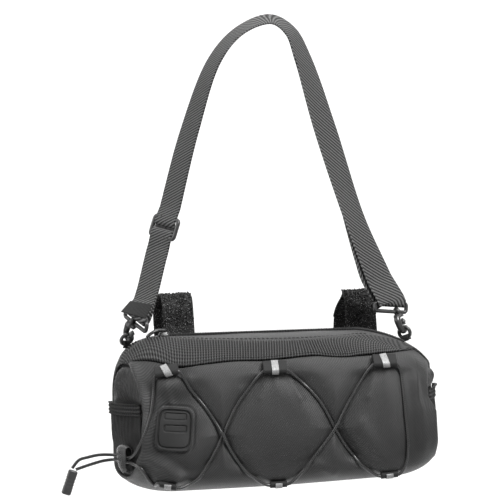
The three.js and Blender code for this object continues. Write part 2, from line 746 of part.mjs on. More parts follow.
add("front_patch",
  wall(patchGrid(0.6 + PATCH.thick, true), patchGrid(0.6, false), { ring: true, pole: true }), "plastic");

// Zip slider and its cord puller, at the left end of the zip.
const ZIP_SLIDER = { x: -89, y: 2.5, halfLength: 4.5, halfWidth: 3.4, height: 3 };
const topHeight = (x, y) => {
  const names = ["zip_tape", "top_flap", "top_panel"].map((name) => bag.getObjectByName(name));
  return restOn(names, vec(x, y, 60), vec(0, 0, 1), 0, 3.6, 4.7).z;
};
const sliderZ = topHeight(ZIP_SLIDER.x, ZIP_SLIDER.y) + 0.4;
const sliderShape = roundedRectangle(0, 0, ZIP_SLIDER.halfLength, ZIP_SLIDER.halfWidth, 1.5);
const sliderBody = new THREE.ExtrudeGeometry(sliderShape,
  { depth: ZIP_SLIDER.height, bevelEnabled: false, curveSegments: 2 });
const zipSlider = add("zip_slider", sliderBody, "plastic");
zipSlider.position.set(ZIP_SLIDER.x, ZIP_SLIDER.y, sliderZ);
const pullerBase = vec(ZIP_SLIDER.x - 1, ZIP_SLIDER.y, sliderZ + ZIP_SLIDER.height + 1.3);
const PULLER = [
  { dx: 2, dy: 1.2, dz: 0 },
  { dx: -5, dy: -1.5, dz: 0.2 },
  { dx: -10, dy: -2.5, dz: -2 },
  { dx: -12.5, dy: -5, dz: -4 },
  { dx: -10, dy: -6.5, dz: -2 },
  { dx: -5, dy: -5.5, dz: 0.2 },
  { dx: 2, dy: -1.6, dz: 0 },
];
const pullerCurve = new THREE.CatmullRomCurve3(
  PULLER.map(({ dx, dy, dz }) => pullerBase.clone().add(vec(dx, dy, dz))));
add("zip_puller", tube(pullerCurve, 0.9, 13, 6), "elastic");

// Bar straps: pile strap up from the back, over the bar and down, and the tongue that meets it.
const PILE_PATH = [
  { y: 45.2, z: 30 },
  { y: 45.2, z: 45 },
  { y: 45.2, z: 58 },
  { y: 46.4, z: 72 },
  { y: 48.5, z: 83 },
  { y: 54, z: 90.5 },
  { y: 61, z: 93.3 },
  { y: 69, z: 93.3 },
  { y: 76.5, z: 90.5 },
  { y: 82, z: 83 },
  { y: 83.6, z: 75 },
  { y: 84, z: 69 },
];
const TONGUE_PATH = [
  { y: 45.2, z: 8 },
  { y: 45.2, z: 18 },
  { y: 46.5, z: 25 },
  { y: 51, z: 30 },
  { y: 60, z: 33 },
  { y: 70, z: 35.5 },
  { y: 77.5, z: 41 },
  { y: 80.8, z: 50 },
  { y: 81.3, z: 62 },
  { y: 81, z: 75 },
  { y: 79.5, z: 82 },
];
for (const [name, { x, drop }] of Object.entries(BAR_STRAPS)) {
  const across = vec(WEBBING.halfWidth, 0, 0);
  const low = (z) => z - drop * smoothstep(z, 45, 80);
  const along = (rows) => rows.map(({ y, z }) => vec(x, y, low(z)));
  add("bar_strap_" + name, strip(along(PILE_PATH), across, PILE_HALF), "pile");
  add("bar_tongue_" + name, strip(along(TONGUE_PATH), across, PILE_HALF), "pile");
}

// Snap hook plates drawn with the eye at the origin and the bow below.
function hookShape() {
  const outer = HOOK.inner + HOOK.wire;
  const shape = new THREE.Shape();
  shape.moveTo(-2.6, -2.4);
  shape.lineTo(2.6, -2.4);
  shape.lineTo(outer - 0.2, -3.8);
  shape.lineTo(outer - 0.2, -4.7);
  shape.lineTo(2.8, -4.7);
  shape.quadraticCurveTo(-HOOK.inner, -4.9, -HOOK.inner, -8);
  shape.lineTo(-HOOK.inner, HOOK.bowZ);
  shape.absarc(0, HOOK.bowZ, HOOK.inner, Math.PI, 1.88 * Math.PI, false);
  shape.lineTo(outer - 0.25, GATE.tip - 0.45);
  shape.absarc(0, HOOK.bowZ, outer, -0.18, -Math.PI, true);
  shape.lineTo(-outer, -6);
  shape.quadraticCurveTo(-outer, -3.2, -2.6, -2.4);
  return shape;
}

function gateShape() {
  const { x, z, half, tip, knob } = GATE;
  const shape = new THREE.Shape();
  shape.moveTo(x - half, tip);
  shape.lineTo(x + half, tip);
  shape.lineTo(x + half, z - 4.4);
  shape.quadraticCurveTo(x + half + knob, z - 4.2, x + half + knob, z - 2.6);
  shape.quadraticCurveTo(x + half + knob, z - 1, x + half, z - 0.8);
  shape.lineTo(x + half, z);
  shape.absarc(x, z, half, 0, Math.PI, false);
  return shape;
}

// Frame for the webbing: its upper bar lies on the local X axis.
function frameShape() {
  const height = FRAME.slot + 2 * FRAME.wire;
  const middle = FRAME.wire / 2 - height / 2;
  const outline = roundedRectangle(0, middle, FRAME.halfSlot + FRAME.side, height / 2, 2.4);
  outline.holes.push(roundedRectangle(0, middle, FRAME.halfSlot, FRAME.slot / 2, 0.8, THREE.Path));
  return outline;
}

const FRAME_DROP = FRAME.slot + FRAME.wire;
const RING_TOP = HOOK.bowZ - HOOK.inner + RING.wire + 0.7;

// A group whose local X and Z follow two given directions.
function placed(origin, alongX, alongZ) {
  const z = alongZ.clone().normalize();
  const x = alongX.clone().addScaledVector(z, -alongX.dot(z)).normalize();
  const y = z.clone().cross(x);
  const group = new THREE.Group();
  group.applyMatrix4(new THREE.Matrix4().makeBasis(x, y, z));
  group.position.copy(origin);
  bag.add(group);
  group.updateMatrixWorld(true);
  return group;
}

for (const [name, fit] of Object.entries(FITTINGS)) {
  const across = fit.across.clone().normalize();
  const frameUp = vec(0, 0, 1).addScaledVector(across, -across.z);
  const up = fit.offset ? frameUp : fit.hookDown.clone().negate();
  const frame = placed(fit.bar, across, up);
  add("hook_loop_" + name, plate(frameShape(), FRAME.depth, 2), "plastic", frame);

  const eye = frame.localToWorld(vec(fit.offset, 0, -FRAME_DROP));
  const hookUp = fit.hookDown.clone().negate();
  const turned = across.clone().applyAxisAngle(hookUp.clone().normalize(), degToRad(fit.twist));
  const hook = placed(eye, turned, hookUp);
  const eyeRing = new THREE.TorusGeometry(HOOK.eye, HOOK.eyeWire, 5, 11);
  eyeRing.rotateY(Math.PI / 2).rotateZ(degToRad(-fit.twist));
  add("hook_body_" + name, join(plate(hookShape(), HOOK.depth), eyeRing), "plastic", hook);
  add("hook_gate_" + name, plate(gateShape(), GATE.depth, 3), "knob", hook);

  const ring = add("ring_" + name, new THREE.TorusGeometry(RING.radius, RING.wire, 6, 14), "plastic", hook);
  ring.rotation.y = Math.PI / 2;
  ring.position.z = RING_TOP - RING.radius;

  const fold = RING.wire + 1.5;
  const tabAt = (dx, dz) => hook.localToWorld(vec(dx, 0, RING_TOP - 2 * RING.radius + dz));
  const ringTab = [tabAt(-fold, -1.9), tabAt(-fold, -0.9)];
  for (let k = 0; k <= 4; k++) {
    const angle = degToRad(180 - 45 * k);
    ringTab.push(tabAt(fold * Math.cos(angle), fold * Math.sin(angle)));
  }
  ringTab.push(tabAt(fold, -0.9), tabAt(fold, -1.9));
  const width = vec(0, 1, 0).transformDirection(hook.matrixWorld).multiplyScalar(2.3);
  add("ring_tab_" + name, strip(ringTab, width, 0.5), "webbing");
}

// Shoulder strap
const linePoints = STRAP_LINE.map((row) => vec(row.x, row.turn, row.z));
const strapCurve = new THREE.CatmullRomCurve3(linePoints, false, "centripetal");
strapCurve.arcLengthDivisions = 600;
const STRAP_STEPS = 40;
const turnRadius = 2.65;

// Outer face of the strap: it looks to the front where the turn is 0 and away from the arch at 90.
function strapStation(k) {
  const here = strapCurve.getPointAt(k);
  const ahead = strapCurve.getPointAt(Math.min(k + 0.01, 1));
  const behind = strapCurve.getPointAt(Math.max(k - 0.01, 0));
  const along = vec(ahead.x - behind.x, 0, ahead.z - behind.z).normalize();
  const away = vec(-along.z, 0, along.x);
  const turn = degToRad(here.y);
  const face = vec(0, -Math.cos(turn), 0).addScaledVector(away, Math.sin(turn));
  const across = along.clone().cross(face).normalize();
  return { middle: vec(here.x, STRAP_Y, here.z), across, face, along };
}

// Stations from the end of the outer ply round a hook's bar to the ply behind it.
function turnRound(fit, start) {
  const bar = fit.bar;
  const across = fit.across.clone().normalize();
  if (across.dot(start.across) < 0) across.negate();
  const up = start.middle.clone().sub(bar);
  up.addScaledVector(across, -up.dot(across)).normalize();
  const face = up.clone().cross(across).normalize();
  if (face.dot(start.face) < 0) face.negate();
  const at = (out, rise) =>
    bar.clone().addScaledVector(face, out * turnRadius).addScaledVector(up, rise);
  const stations = [];
  for (let k = 0; k <= 6; k++) {
    const angle = degToRad(-30 * k);
    stations.push({
      middle: at(Math.cos(angle), turnRadius * Math.sin(angle)),
      across,
      face: face.clone().multiplyScalar(Math.cos(angle)).addScaledVector(up, Math.sin(angle)),
    });
  }
  return { stations, face };
}

const blend = (a, b, k) => a.clone().lerp(b, k);

// Stations between a hook's turn and the strap's line, or along the ply behind it.
function between(from, to, count, shift = 0) {
  return Array.from({ length: count }, (_, i) => {
    const k = (i + 1) / (count + 1);
    const face = blend(from.face, to.face, k).normalize();
    const across = blend(from.across, to.across, k).normalize();
    const bend = Math.sin(Math.PI * k) * shift;
    return { middle: blend(from.middle, to.middle, k).addScaledVector(face, bend), across, face };
  });
}

const lineStations = Array.from({ length: STRAP_STEPS + 1 }, (_, i) => strapStation(i / STRAP_STEPS));
const leftTurn = turnRound(FITTINGS.left, lineStations[0]);
const rightTurn = turnRound(FITTINGS.right, lineStations[STRAP_STEPS]);

// The slider sits where the doubled lower left part begins: the outer ply waves through its bars.
const SLIDER = { halfHeight: 13, wave: 2.7, depth: 2.4 };
const sliderStart = lineStations[0];
const sliderSpot = (along, out) =>
  sliderStart.middle.clone().addScaledVector(sliderStart.along, along)
    .addScaledVector(sliderStart.face, out);
const WAVE = [
  { along: -16, out: -1.6 },
  { along: -11.5, out: -SLIDER.wave },
  { along: -7, out: -0.6 },
  { along: 0, out: SLIDER.wave },
  { along: 7, out: -0.6 },
  { along: 11.5, out: -SLIDER.wave },
  { along: 16, out: -1.6 },
];
const waveStations = WAVE.map(({ along, out }) => ({
  middle: sliderSpot(along, out),
  across: sliderStart.across,
  face: sliderStart.face,
}));
const REAR = [
  { along: -18, out: -4.6 },
  { along: -11, out: -5 },
  { along: -4, out: -3.4 },
];
const rearTop = REAR.map(({ along, out }) => ({
  middle: sliderSpot(along, out),
  across: sliderStart.across,
  face: sliderStart.face,
}));

const leftRound = leftTurn.stations;
const rightRound = rightTurn.stations;
const rightDown = between(lineStations[STRAP_STEPS], { ...rightRound[0], face: rightTurn.face }, 3);
const SEWN_GAP = [2 * turnRadius - 0.4, 3.2, 2.4];
const rightBack = rightDown.slice().reverse().map((row, i) => ({
  ...row,
  middle: row.middle.clone().addScaledVector(row.face, -SEWN_GAP[i]),
}));
const strapStations = [
  ...rearTop.slice().reverse(),
  ...between(rearTop[0], { ...leftRound[6], face: leftTurn.face }, 3),
  ...leftRound.slice().reverse().map((row) => ({ ...row })),
  ...between({ ...leftRound[0], face: leftTurn.face }, waveStations[0], 4),
  ...waveStations,
  ...lineStations.filter((row) => row.middle.distanceTo(sliderStart.middle) > 24),
  ...rightDown,
  ...rightRound,
  ...rightBack,
];
add("shoulder_strap",
  ribbon(strapStations.map((row, i) => {
    const next = strapStations[Math.min(i + 1, strapStations.length - 1)].middle;
    const last = strapStations[Math.max(i - 1, 0)].middle;
    const along = next.clone().sub(last).normalize();
    const across = row.across.clone().addScaledVector(along, -row.across.dot(along)).normalize();
    const through = along.clone().cross(across).normalize();
    return {
      middle: row.middle,
      across: across.multiplyScalar(WEBBING.halfWidth),
      through: through.multiplyScalar(WEBBING.half),
    };
  })), "webbing");

// Slider: a frame with a bar at each end and one in the middle.
const sliderOutline = roundedRectangle(0, 0, WEBBING.halfWidth + 3, SLIDER.halfHeight, 2.5);
for (const z of [-6.2, 6.2]) {
  sliderOutline.holes.push(roundedRectangle(0, z, WEBBING.halfWidth + 0.7, 5, 1, THREE.Path));
}
const sliderGroup = placed(sliderStart.middle, sliderStart.across, sliderStart.along);
add("strap_slider", plate(sliderOutline, SLIDER.depth, 2), "plastic", sliderGroup);

// The whole hangs from the underside of the strap's highest point, which is the origin.
const top = lineStations.reduce((best, row) => (row.middle.z > best.middle.z ? row : best));
bag.position.copy(top.middle.clone().addScaledVector(top.face, -WEBBING.half)).negate();

const root = new THREE.Group();
root.add(bag);
export default root;
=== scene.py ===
import math
import bpy
import numpy as np
from mathutils import Matrix


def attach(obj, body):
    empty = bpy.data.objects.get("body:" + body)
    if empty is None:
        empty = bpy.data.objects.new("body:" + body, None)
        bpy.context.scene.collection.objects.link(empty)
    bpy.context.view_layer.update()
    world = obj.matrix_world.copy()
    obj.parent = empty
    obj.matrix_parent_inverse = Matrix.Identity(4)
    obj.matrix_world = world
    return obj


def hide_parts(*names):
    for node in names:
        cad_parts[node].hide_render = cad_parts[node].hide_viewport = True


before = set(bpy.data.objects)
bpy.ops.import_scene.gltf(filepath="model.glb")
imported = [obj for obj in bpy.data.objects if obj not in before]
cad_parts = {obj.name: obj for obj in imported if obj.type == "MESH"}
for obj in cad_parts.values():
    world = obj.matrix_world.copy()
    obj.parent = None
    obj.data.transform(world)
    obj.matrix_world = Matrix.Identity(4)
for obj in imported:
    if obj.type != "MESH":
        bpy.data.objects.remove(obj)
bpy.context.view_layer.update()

# A soft handlebar bag hanging by its shoulder strap.
# The shapes are worked out in millimetres from the middle of the bag's body, X to the right,
# Y to the back and Z up, and HANG brings them to the hanging point of the strap.
HANG = np.array([-8.23, -12.29, -308.38])


def vec(*numbers):
    """A point or direction as an array."""
    return np.array(numbers, float)


def unit(v):
    """Vectors of length one along the last axis."""
    return v / np.maximum(np.linalg.norm(v, axis=-1, keepdims=True), 1e-9)


def smooth(x, low, high):
    """0 below low, 1 above high and a cubic ease between them."""
    w = np.clip((x - low) / (high - low), 0, 1)
    return w * w * (3 - 2 * w)


def bell(x, width):
    """A bump of height 1 that falls off as the Gaussian of x over width."""
    return np.exp(-((x / width) ** 2))


def mix(a, b, w):
    """The value w of the way from a to b."""
    return a + (b - a) * w


UP = vec(0, 0, 1)

# Camera
SCENE = bpy.context.scene
CAMERA = {"eye": vec(-237.3, -1784.4, 127.0), "look": vec(0.1219, 0.9925, 0), "roll": 2.8, "lens": 164.6,
          "sensor": 36, "far": 100}


def set_up(name, data, right, up, back, at):
    """A camera or a lamp in the scene, from its three directions and its place in metres."""
    made = bpy.data.objects.new(name, data)
    SCENE.collection.objects.link(made)
    matrix = np.eye(4)
    matrix[:3] = np.stack([right, up, back, at], axis=1)
    made.matrix_world = Matrix(matrix.tolist())
    return made


def photo_camera():
    """A level camera that looks along CAMERA's look, rolled so that the bag rises to the right."""
    look = unit(CAMERA["look"])
    level = vec(look[1], -look[0], 0)
    roll = math.radians(CAMERA["roll"])
    right = math.cos(roll) * level - math.sin(roll) * UP
    up = math.cos(roll) * UP + math.sin(roll) * level
    data = bpy.data.cameras.new("photo_camera")
    data.lens = CAMERA["lens"]
    data.sensor_width = CAMERA["sensor"]
    data.clip_end = CAMERA["far"]
    SCENE.camera = set_up("photo_camera", data, right, up, -look, (CAMERA["eye"] + HANG) / 1000)


photo_camera()


# Shapes
def spline(knots, per=16):
    """Points on a centripetal Catmull-Rom curve through the knots: cubic spans whose tangents weigh
    the neighbouring chords by the square roots of their lengths."""
    k = np.asarray(knots, float)
    ext = np.concatenate([2 * k[:1] - k[1:2], k, 2 * k[-1:] - k[-2:-1]])
    spans = len(ext) - 3
    p0, p1, p2, p3 = (ext[i:i + spans][:, None] for i in range(4))
    points = catmull(p0, p1, p2, p3, np.linspace(0, 1, per, endpoint=False)[None, :, None])
    return np.concatenate([points.reshape(-1, k.shape[1]), k[-1:]])


def catmull(p0, p1, p2, p3, w):
    """The cubic between p1 and p2 at share w, with tangents from the chords' square-root lengths."""
    d0, d1, d2 = (np.maximum(np.linalg.norm(b - a, axis=-1, keepdims=True), 1e-6) ** 0.5
                  for a, b in ((p0, p1), (p1, p2), (p2, p3)))
    m1 = ((p1 - p0) / d0 - (p2 - p0) / (d0 + d1) + (p2 - p1) / d1) * d1
    m2 = ((p2 - p1) / d1 - (p3 - p1) / (d1 + d2) + (p3 - p2) / d2) * d1
    return (p1 + m1 * w + (3 * (p2 - p1) - 2 * m1 - m2) * w ** 2
            + (2 * (p1 - p2) + m1 + m2) * w ** 3)


def lengths(path):
    """Distance along a path at each of its points."""
    return np.concatenate([[0], np.cumsum(np.linalg.norm(np.diff(path[:, :3], axis=0), axis=1))])


def at_distance(at, along, values):
    """Rows of values that are given at distances along a path, read at other distances."""
    return np.stack([np.interp(at, along, column) for column in values.T], axis=1)


def resample(path, step):
    """The path at equal steps of about the given length."""
    along = lengths(path)
    at = np.linspace(0, along[-1], max(3, int(round(along[-1] / step)) + 1))
    return at_distance(at, along, path)


def tangents(path):
    """Directions along a path from its neighbouring points."""
    return unit(np.gradient(path, axis=0))


def settle(made, name, body="bag", new=False):
    """Puts a piece in the scene: on its body and, unless it is new, in place of the solid of its name."""
    SCENE.collection.objects.link(made)
    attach(made, body)
    if not new:
        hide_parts(name)
    return made


def piece(name, points, quads, corner_uv, finish, body="bag", caps=(), new=False):
    """One object from points in millimetres, quads and their corners' UV in metres.
    Faces are turned outwards where the enclosed volume comes out negative."""
    points = (points + HANG) / 1000
    a, b, c, d = (points[quads[:, i]] - points.mean(axis=0) for i in range(4))
    if np.einsum("ij,ij->", a, np.cross(b, c) + np.cross(c, d)) < 0:
        quads, corner_uv = quads[:, ::-1], corner_uv[:, ::-1]
        caps = [cap[::-1] for cap in caps]
    sizes = [4] * len(quads) + [len(cap) for cap in caps]
    loops = np.concatenate([quads.ravel(), *caps]).astype(np.int32)
    uv = np.zeros((len(loops), 2), np.float32)
    uv[:len(quads) * 4] = corner_uv.reshape(-1, 2)
    mesh = bpy.data.meshes.new(name)
    mesh.vertices.add(len(points))
    mesh.vertices.foreach_set("co", points.astype(np.float32).ravel())
    mesh.loops.add(len(loops))
    mesh.loops.foreach_set("vertex_index", loops)
    mesh.polygons.add(len(sizes))
    mesh.polygons.foreach_set("loop_start", np.concatenate([[0], np.cumsum(sizes)[:-1]]).astype(np.int32))
    mesh.uv_layers.new(name="UVMap").data.foreach_set("uv", uv.ravel())
    mesh.update(calc_edges=True)
    mesh.validate()
    mesh.polygons.foreach_set("use_smooth", np.ones(len(mesh.polygons), bool))
    mesh.materials.append(finish)
    return settle(bpy.data.objects.new(name + "." + SLOTS[finish], mesh), name, body, new)


def grid_quads(rows, columns, wrap=False):
    """Quads of a grid of numbered points, and the row and column of each corner."""
    i, j = np.meshgrid(np.arange(rows - 1), np.arange(columns if wrap else columns - 1), indexing="ij")
    i, j = i.ravel(), j.ravel()
    corner = np.stack([np.stack([i, j], 1), np.stack([i + 1, j], 1),
                       np.stack([i + 1, j + 1], 1), np.stack([i, j + 1], 1)], axis=1)
    return corner[..., 0] * columns + corner[..., 1] % columns, corner


def shell(name, outer, inner, u, v, finish, wrap=False):
    """A closed wall between two grids of points, with rims along the open edges. A wrapped grid
    closes round its columns, and its last row is capped."""
    rows, columns = outer.shape[:2]
    count = rows * columns
    points = np.concatenate([outer.reshape(-1, 3), inner.reshape(-1, 3)])
    quads, corner = grid_quads(rows, columns, wrap)
    index = np.arange(count).reshape(rows, columns)
    rims = [index[0]] if wrap else [index[0], index[-1][::-1], index[:, 0][::-1], index[:, -1]]
    parts = [quads, quads[:, ::-1] + count]
    u = np.broadcast_to(u.reshape(rows, -1), (rows, len(v)))
    uv = np.stack([u[corner[..., 0], corner[..., 1]], v[corner[..., 1]]], axis=-1)
    corner_uv = [uv, uv[:, ::-1]]
    flat_uv = np.stack(np.broadcast_arrays(u[:, :columns], v[None, :columns]), axis=-1).reshape(-1, 2)
    for line in rims:
        line = np.append(line, line[0]) if wrap else line
        a, b = line[:-1], line[1:]
        parts.append(np.stack([a, b, b + count, a + count], axis=1))
        corner_uv.append(np.stack([flat_uv[a], flat_uv[b], flat_uv[b], flat_uv[a]], axis=1))
    caps = [index[-1][::-1], index[-1] + count] if wrap else []
    return piece(name, points, np.concatenate(parts), np.concatenate(corner_uv), finish, caps=caps)


def loft(name, rings, u, v, finish, body="bag", closed=False, new=False):
    """A closed skin over rings of points, capped at both ends or closed into a loop."""
    rows, columns = rings.shape[:2]
    quads, corner = grid_quads(rows, columns, True)
    if closed:
        more, extra = grid_quads(2, columns, True)
        ends = np.concatenate([np.arange(columns) + (rows - 1) * columns, np.arange(columns)])
        quads = np.concatenate([quads, ends[more]])
        corner = np.concatenate([corner, extra + [rows - 1, 0]])
        u = np.append(u, u[-1] + (u[-1] - u[-2]))
    v = np.broadcast_to(v, (len(u), columns + 1))
    uv = np.stack([u[corner[..., 0]], v[corner[..., 0], corner[..., 1]]], axis=-1)
    index = np.arange(rows * columns).reshape(rows, columns)
    caps = [] if closed else [index[0][::-1], index[-1]]
    return piece(name, rings.reshape(-1, 3), quads[:, ::-1], uv[:, ::-1], finish, body, caps, new)


def frames(path, closed):
    """Side and up directions along a path that turn with it as little as they can: each pair is the
    last one, made square to the new direction."""
    along = tangents(path)
    if closed:
        along = unit(np.roll(path, -1, axis=0) - np.roll(path, 1, axis=0))
    last = UP if abs(along[0][2]) < 0.9 else vec(1, 0, 0)
    side = np.empty_like(path)
    for i, t in enumerate(along):
        last = unit(last - t * (last @ t))
        side[i] = last
    return side, np.cross(along, side)


def tube(name, path, radius, finish, sides, closed=False, body="bag", new=False):
    """A round rod: circles of a radius carried along a path, closed into a loop or capped."""
    side, up = frames(path, closed)
    angle = np.linspace(0, 2 * np.pi, sides, endpoint=False)[None, :, None]
    size = np.broadcast_to(radius, (len(path),))[:, None, None]
    rings = path[:, None] + size * (np.cos(angle) * side[:, None] + np.sin(angle) * up[:, None])
    around = np.linspace(0, 2 * np.pi * np.max(radius) / 1000, sides + 1)
    return loft(name, rings, lengths(path) / 1000, around, finish, body, closed, new)


def strap_profile():
    """Section of a webbing strap: two flat faces joined by half-round edges, as shares of the half
    width and half thickness, with the bulge of the edges."""
    face = np.linspace(-1, 1, 14)
    edge = np.linspace(-90, 90, 7)[1:-1] * np.pi / 180
    a = np.concatenate([face, 1 + 0 * edge, face[::-1], -1 - 0 * edge])
    b = np.concatenate([0 * face - 1, np.sin(edge), 0 * face + 1, -np.sin(edge)])
    bulge = np.concatenate([0 * face, np.cos(edge), 0 * face, -np.cos(edge)])
    return a, b, bulge


def ribbon(name, middle, across, width, half, finish, crown=0.0, weave=None, pace=1.0, new=False):
    """Webbing along a path: the strap section carried with its width along across, square to the
    path, and its face crowned a little in the middle. Weave and pace stretch the pattern over it."""
    along = tangents(middle)
    across = np.broadcast_to(across, middle.shape)
    across = unit(across - along * np.einsum("ij,ij->i", across, along)[:, None])
    through = np.cross(along, across)
    a, b, bulge = strap_profile()
    wide = np.broadcast_to(width, (len(middle),))[:, None, None]
    side = (a[None, :, None] * (wide - half) + bulge[None, :, None] * half) * across[:, None]
    rise = (b[None, :, None] * half + crown * (1 - a[None, :, None] ** 2)) * through[:, None]
    v = np.append(a, a[0]) * np.max(width) / 1000
    if weave is not None:
        v = v[None] * weave[:, None]
    u = np.cumsum(np.diff(lengths(middle), prepend=0) * pace) / 1000
    return loft(name, middle[:, None] + side + rise, u, v, finish, new=new)


def rounded_box(sides, power, half_a, half_b):
    """A rounded rectangle: a circle whose cosine and sine are raised to a power below 1."""
    angle = np.linspace(0, 2 * np.pi, sides, endpoint=False)
    a, b = np.cos(angle), np.sin(angle)
    return np.sign(a) * np.abs(a) ** power * half_a, np.sign(b) * np.abs(b) ** power * half_b


# Finishes
def add_node(tree, kind, **settings):
    """A node of a kind with settings on it."""
    node = tree.nodes.new(kind)
    for key, value in settings.items():
        setattr(node, key, value)
    return node


def feed(tree, socket, value):
    """Sets a socket to a number or links another socket to it."""
    if isinstance(value, bpy.types.NodeSocket):
        tree.links.new(value, socket)
    else:
        socket.default_value = value


def calc(tree, operation, a, b=0.0, c=0.0):
    """One step of arithmetic."""
    node = add_node(tree, "ShaderNodeMath", operation=operation)
    for socket, value in zip(node.inputs, (a, b, c)):
        feed(tree, socket, value)
    return node.outputs[0]


def group(name, inputs, outputs):
    """An empty node group with named sockets, and its input and output nodes."""
    tree = bpy.data.node_groups.new(name, "ShaderNodeTree")
    for label, kind, value in inputs:
        socket = tree.interface.new_socket(name=label, in_out="INPUT", socket_type=kind)
        if value is not None:
            socket.default_value = value
    for label, kind in outputs:
        tree.interface.new_socket(name=label, in_out="OUTPUT", socket_type=kind)
    return tree, tree.nodes.new("NodeGroupInput"), tree.nodes.new("NodeGroupOutput")


def noise(tree, vector, scale, detail):
    """Soft noise of about 0 to 1 at a scale."""
    node = add_node(tree, "ShaderNodeTexNoise")
    for label, value in (("Vector", vector), ("Scale", scale), ("Detail", detail), ("Roughness", 0.55)):
        feed(tree, node.inputs[label], value)
    return node.outputs["Fac"]


def sine_wave(tree, distance, pitch):
    """A sine of 0 to 1 over a distance, at a pitch."""
    turn = calc(tree, "MULTIPLY", calc(tree, "DIVIDE", distance, pitch), 2 * math.pi)
    return calc(tree, "MULTIPLY_ADD", calc(tree, "SINE", turn), 0.5, 0.5)


def diagonal_ribs():
    """Ribs of a twill: a sine of the distance across lines that lean by a slope over UV, and a second
    sine along them for the threads."""
    tree, enter, leave = group(
        "diagonal_ribs",
        [("Vector", "NodeSocketVector", None), ("Pitch", "NodeSocketFloat", 0.002),
         ("Slope", "NodeSocketFloat", 1.0), ("Thread", "NodeSocketFloat", 0.0008)],
        [("Rib", "NodeSocketFloat"), ("Threads", "NodeSocketFloat")])
    split = add_node(tree, "ShaderNodeSeparateXYZ")
    tree.links.new(enter.outputs["Vector"], split.inputs[0])
    lean = calc(tree, "MULTIPLY_ADD", split.outputs["Y"], enter.outputs["Slope"], split.outputs["X"])
    tree.links.new(sine_wave(tree, lean, enter.outputs["Pitch"]), leave.inputs["Rib"])
    tree.links.new(sine_wave(tree, split.outputs["Y"], enter.outputs["Thread"]), leave.inputs["Threads"])
    return tree


def cloth_age():
    """Slow light and dark clouds, and fine grain, from Object coordinates."""
    tree, enter, leave = group(
        "cloth_age",
        [("Vector", "NodeSocketVector", None), ("Cloud", "NodeSocketFloat", 18.0),
         ("Grain", "NodeSocketFloat", 900.0)],
        [("Cloud", "NodeSocketFloat"), ("Grain", "NodeSocketFloat")])
    for label, detail in (("Cloud", 3.0), ("Grain", 2.0)):
        soft = noise(tree, enter.outputs["Vector"], enter.outputs[label], detail)
        tree.links.new(soft, leave.inputs[label])
    return tree


RIBS = diagonal_ribs()
AGE = cloth_age()


def blank(name, roughness, **constants):
    """A new material with its shader, and the constants set on the shader's own sockets."""
    material = bpy.data.materials.new(name)
    material.use_nodes = True
    tree = material.node_tree
    shader = tree.nodes["Principled BSDF"]
    shader.inputs["Roughness"].default_value = roughness
    for label, value in constants.items():
        shader.inputs[label.replace("_", " ")].default_value = value
    return material, tree, shader


def used(tree, made, **values):
    """Outputs of a placed node group with its own values."""
    node = add_node(tree, "ShaderNodeGroup", node_tree=made)
    for label, value in values.items():
        feed(tree, node.inputs[label], value)
    return node.outputs


def aged(name, roughness, cloud=18.0, grain=900.0, **constants):
    """A new material with its shader, its coordinates, and clouds and grain at their scales."""
    material, tree, shader = blank(name, roughness, **constants)
    place = add_node(tree, "ShaderNodeTexCoord").outputs
    return material, tree, shader, place, used(tree, AGE, Vector=place["Object"], Cloud=cloud, Grain=grain)


def grey(tone):
    """A linear grey from a display value of 0 to 255."""
    share = tone / 255
    linear = share / 12.92 if share < 0.04045 else ((share + 0.055) / 1.055) ** 2.4
    return (linear, linear, linear, 1)


def paint(tree, shader, value, dark, light):
    """Colours a shader with a grey between two display values, by a value of 0 to 1."""
    node = add_node(tree, "ShaderNodeMix", data_type="RGBA")
    feed(tree, node.inputs["Factor"], value)
    node.inputs["A"].default_value = grey(dark)
    node.inputs["B"].default_value = grey(light)
    tree.links.new(node.outputs["Result"], shader.inputs["Base Color"])


def uneven_gloss(tree, shader, cloud, roughness, change):
    """Lets the roughness change with the clouds about its middle."""
    value = calc(tree, "MULTIPLY_ADD", cloud, change, roughness - change / 2)
    tree.links.new(value, shader.inputs["Roughness"])


def bump(tree, shader, height, distance):
    """Relief from a height of 0 to 1 that stands a distance in metres."""
    node = add_node(tree, "ShaderNodeBump")
    node.inputs["Distance"].default_value = distance
    node.inputs["Strength"].default_value = 1
    tree.links.new(height, node.inputs["Height"])
    tree.links.new(node.outputs["Normal"], shader.inputs["Normal"])


def cells(tree, place, feature, scale):
    """Distance in a pattern of cells over Object coordinates."""
    node = add_node(tree, "ShaderNodeTexVoronoi", feature=feature)
    tree.links.new(place["Object"], node.inputs["Vector"])
    node.inputs["Scale"].default_value = scale
    return node.outputs["Distance"]


def woven(name, dark, light, pitch, slope, thread, relief, roughness, cloud=0.35, contrast=1.0, narrow=1.0,
          dots=0.3):
    """Woven cloth: twill ribs and threads over its UV, with slow clouds and fine grain. The contrast
    spreads the tones round their middle, ribs raised to a power narrow stand between wider grooves, and
    dots is the threads' share of the relief."""
    material, tree, shader, place, age = aged(name, roughness, Specular_IOR_Level=0.3)
    ribs = used(tree, RIBS, Vector=place["UV"], Pitch=pitch, Slope=slope, Thread=thread)
    height = calc(tree, "MULTIPLY_ADD", ribs["Threads"], dots,
                  calc(tree, "MULTIPLY", calc(tree, "POWER", ribs["Rib"], narrow), 1 - dots))
    # The tone follows the rib height, so the grooves between ribs are painted darker as shade; clouds and
    # grain add random tone on top.
    tone = calc(tree, "MULTIPLY_ADD", age["Cloud"], cloud, calc(tree, "MULTIPLY", height, 0.8 - cloud))
    tone = calc(tree, "MULTIPLY_ADD", age["Grain"], 0.2, tone)
    # The contrast spreads the painted groove shade together with the random tone.
    tone = calc(tree, "MULTIPLY_ADD", tone, contrast, 0.5 - 0.5 * contrast)
    paint(tree, shader, tone, dark, light)
    uneven_gloss(tree, shader, age["Cloud"], roughness, 0.16)
    bump(tree, shader, height, relief)
    return material


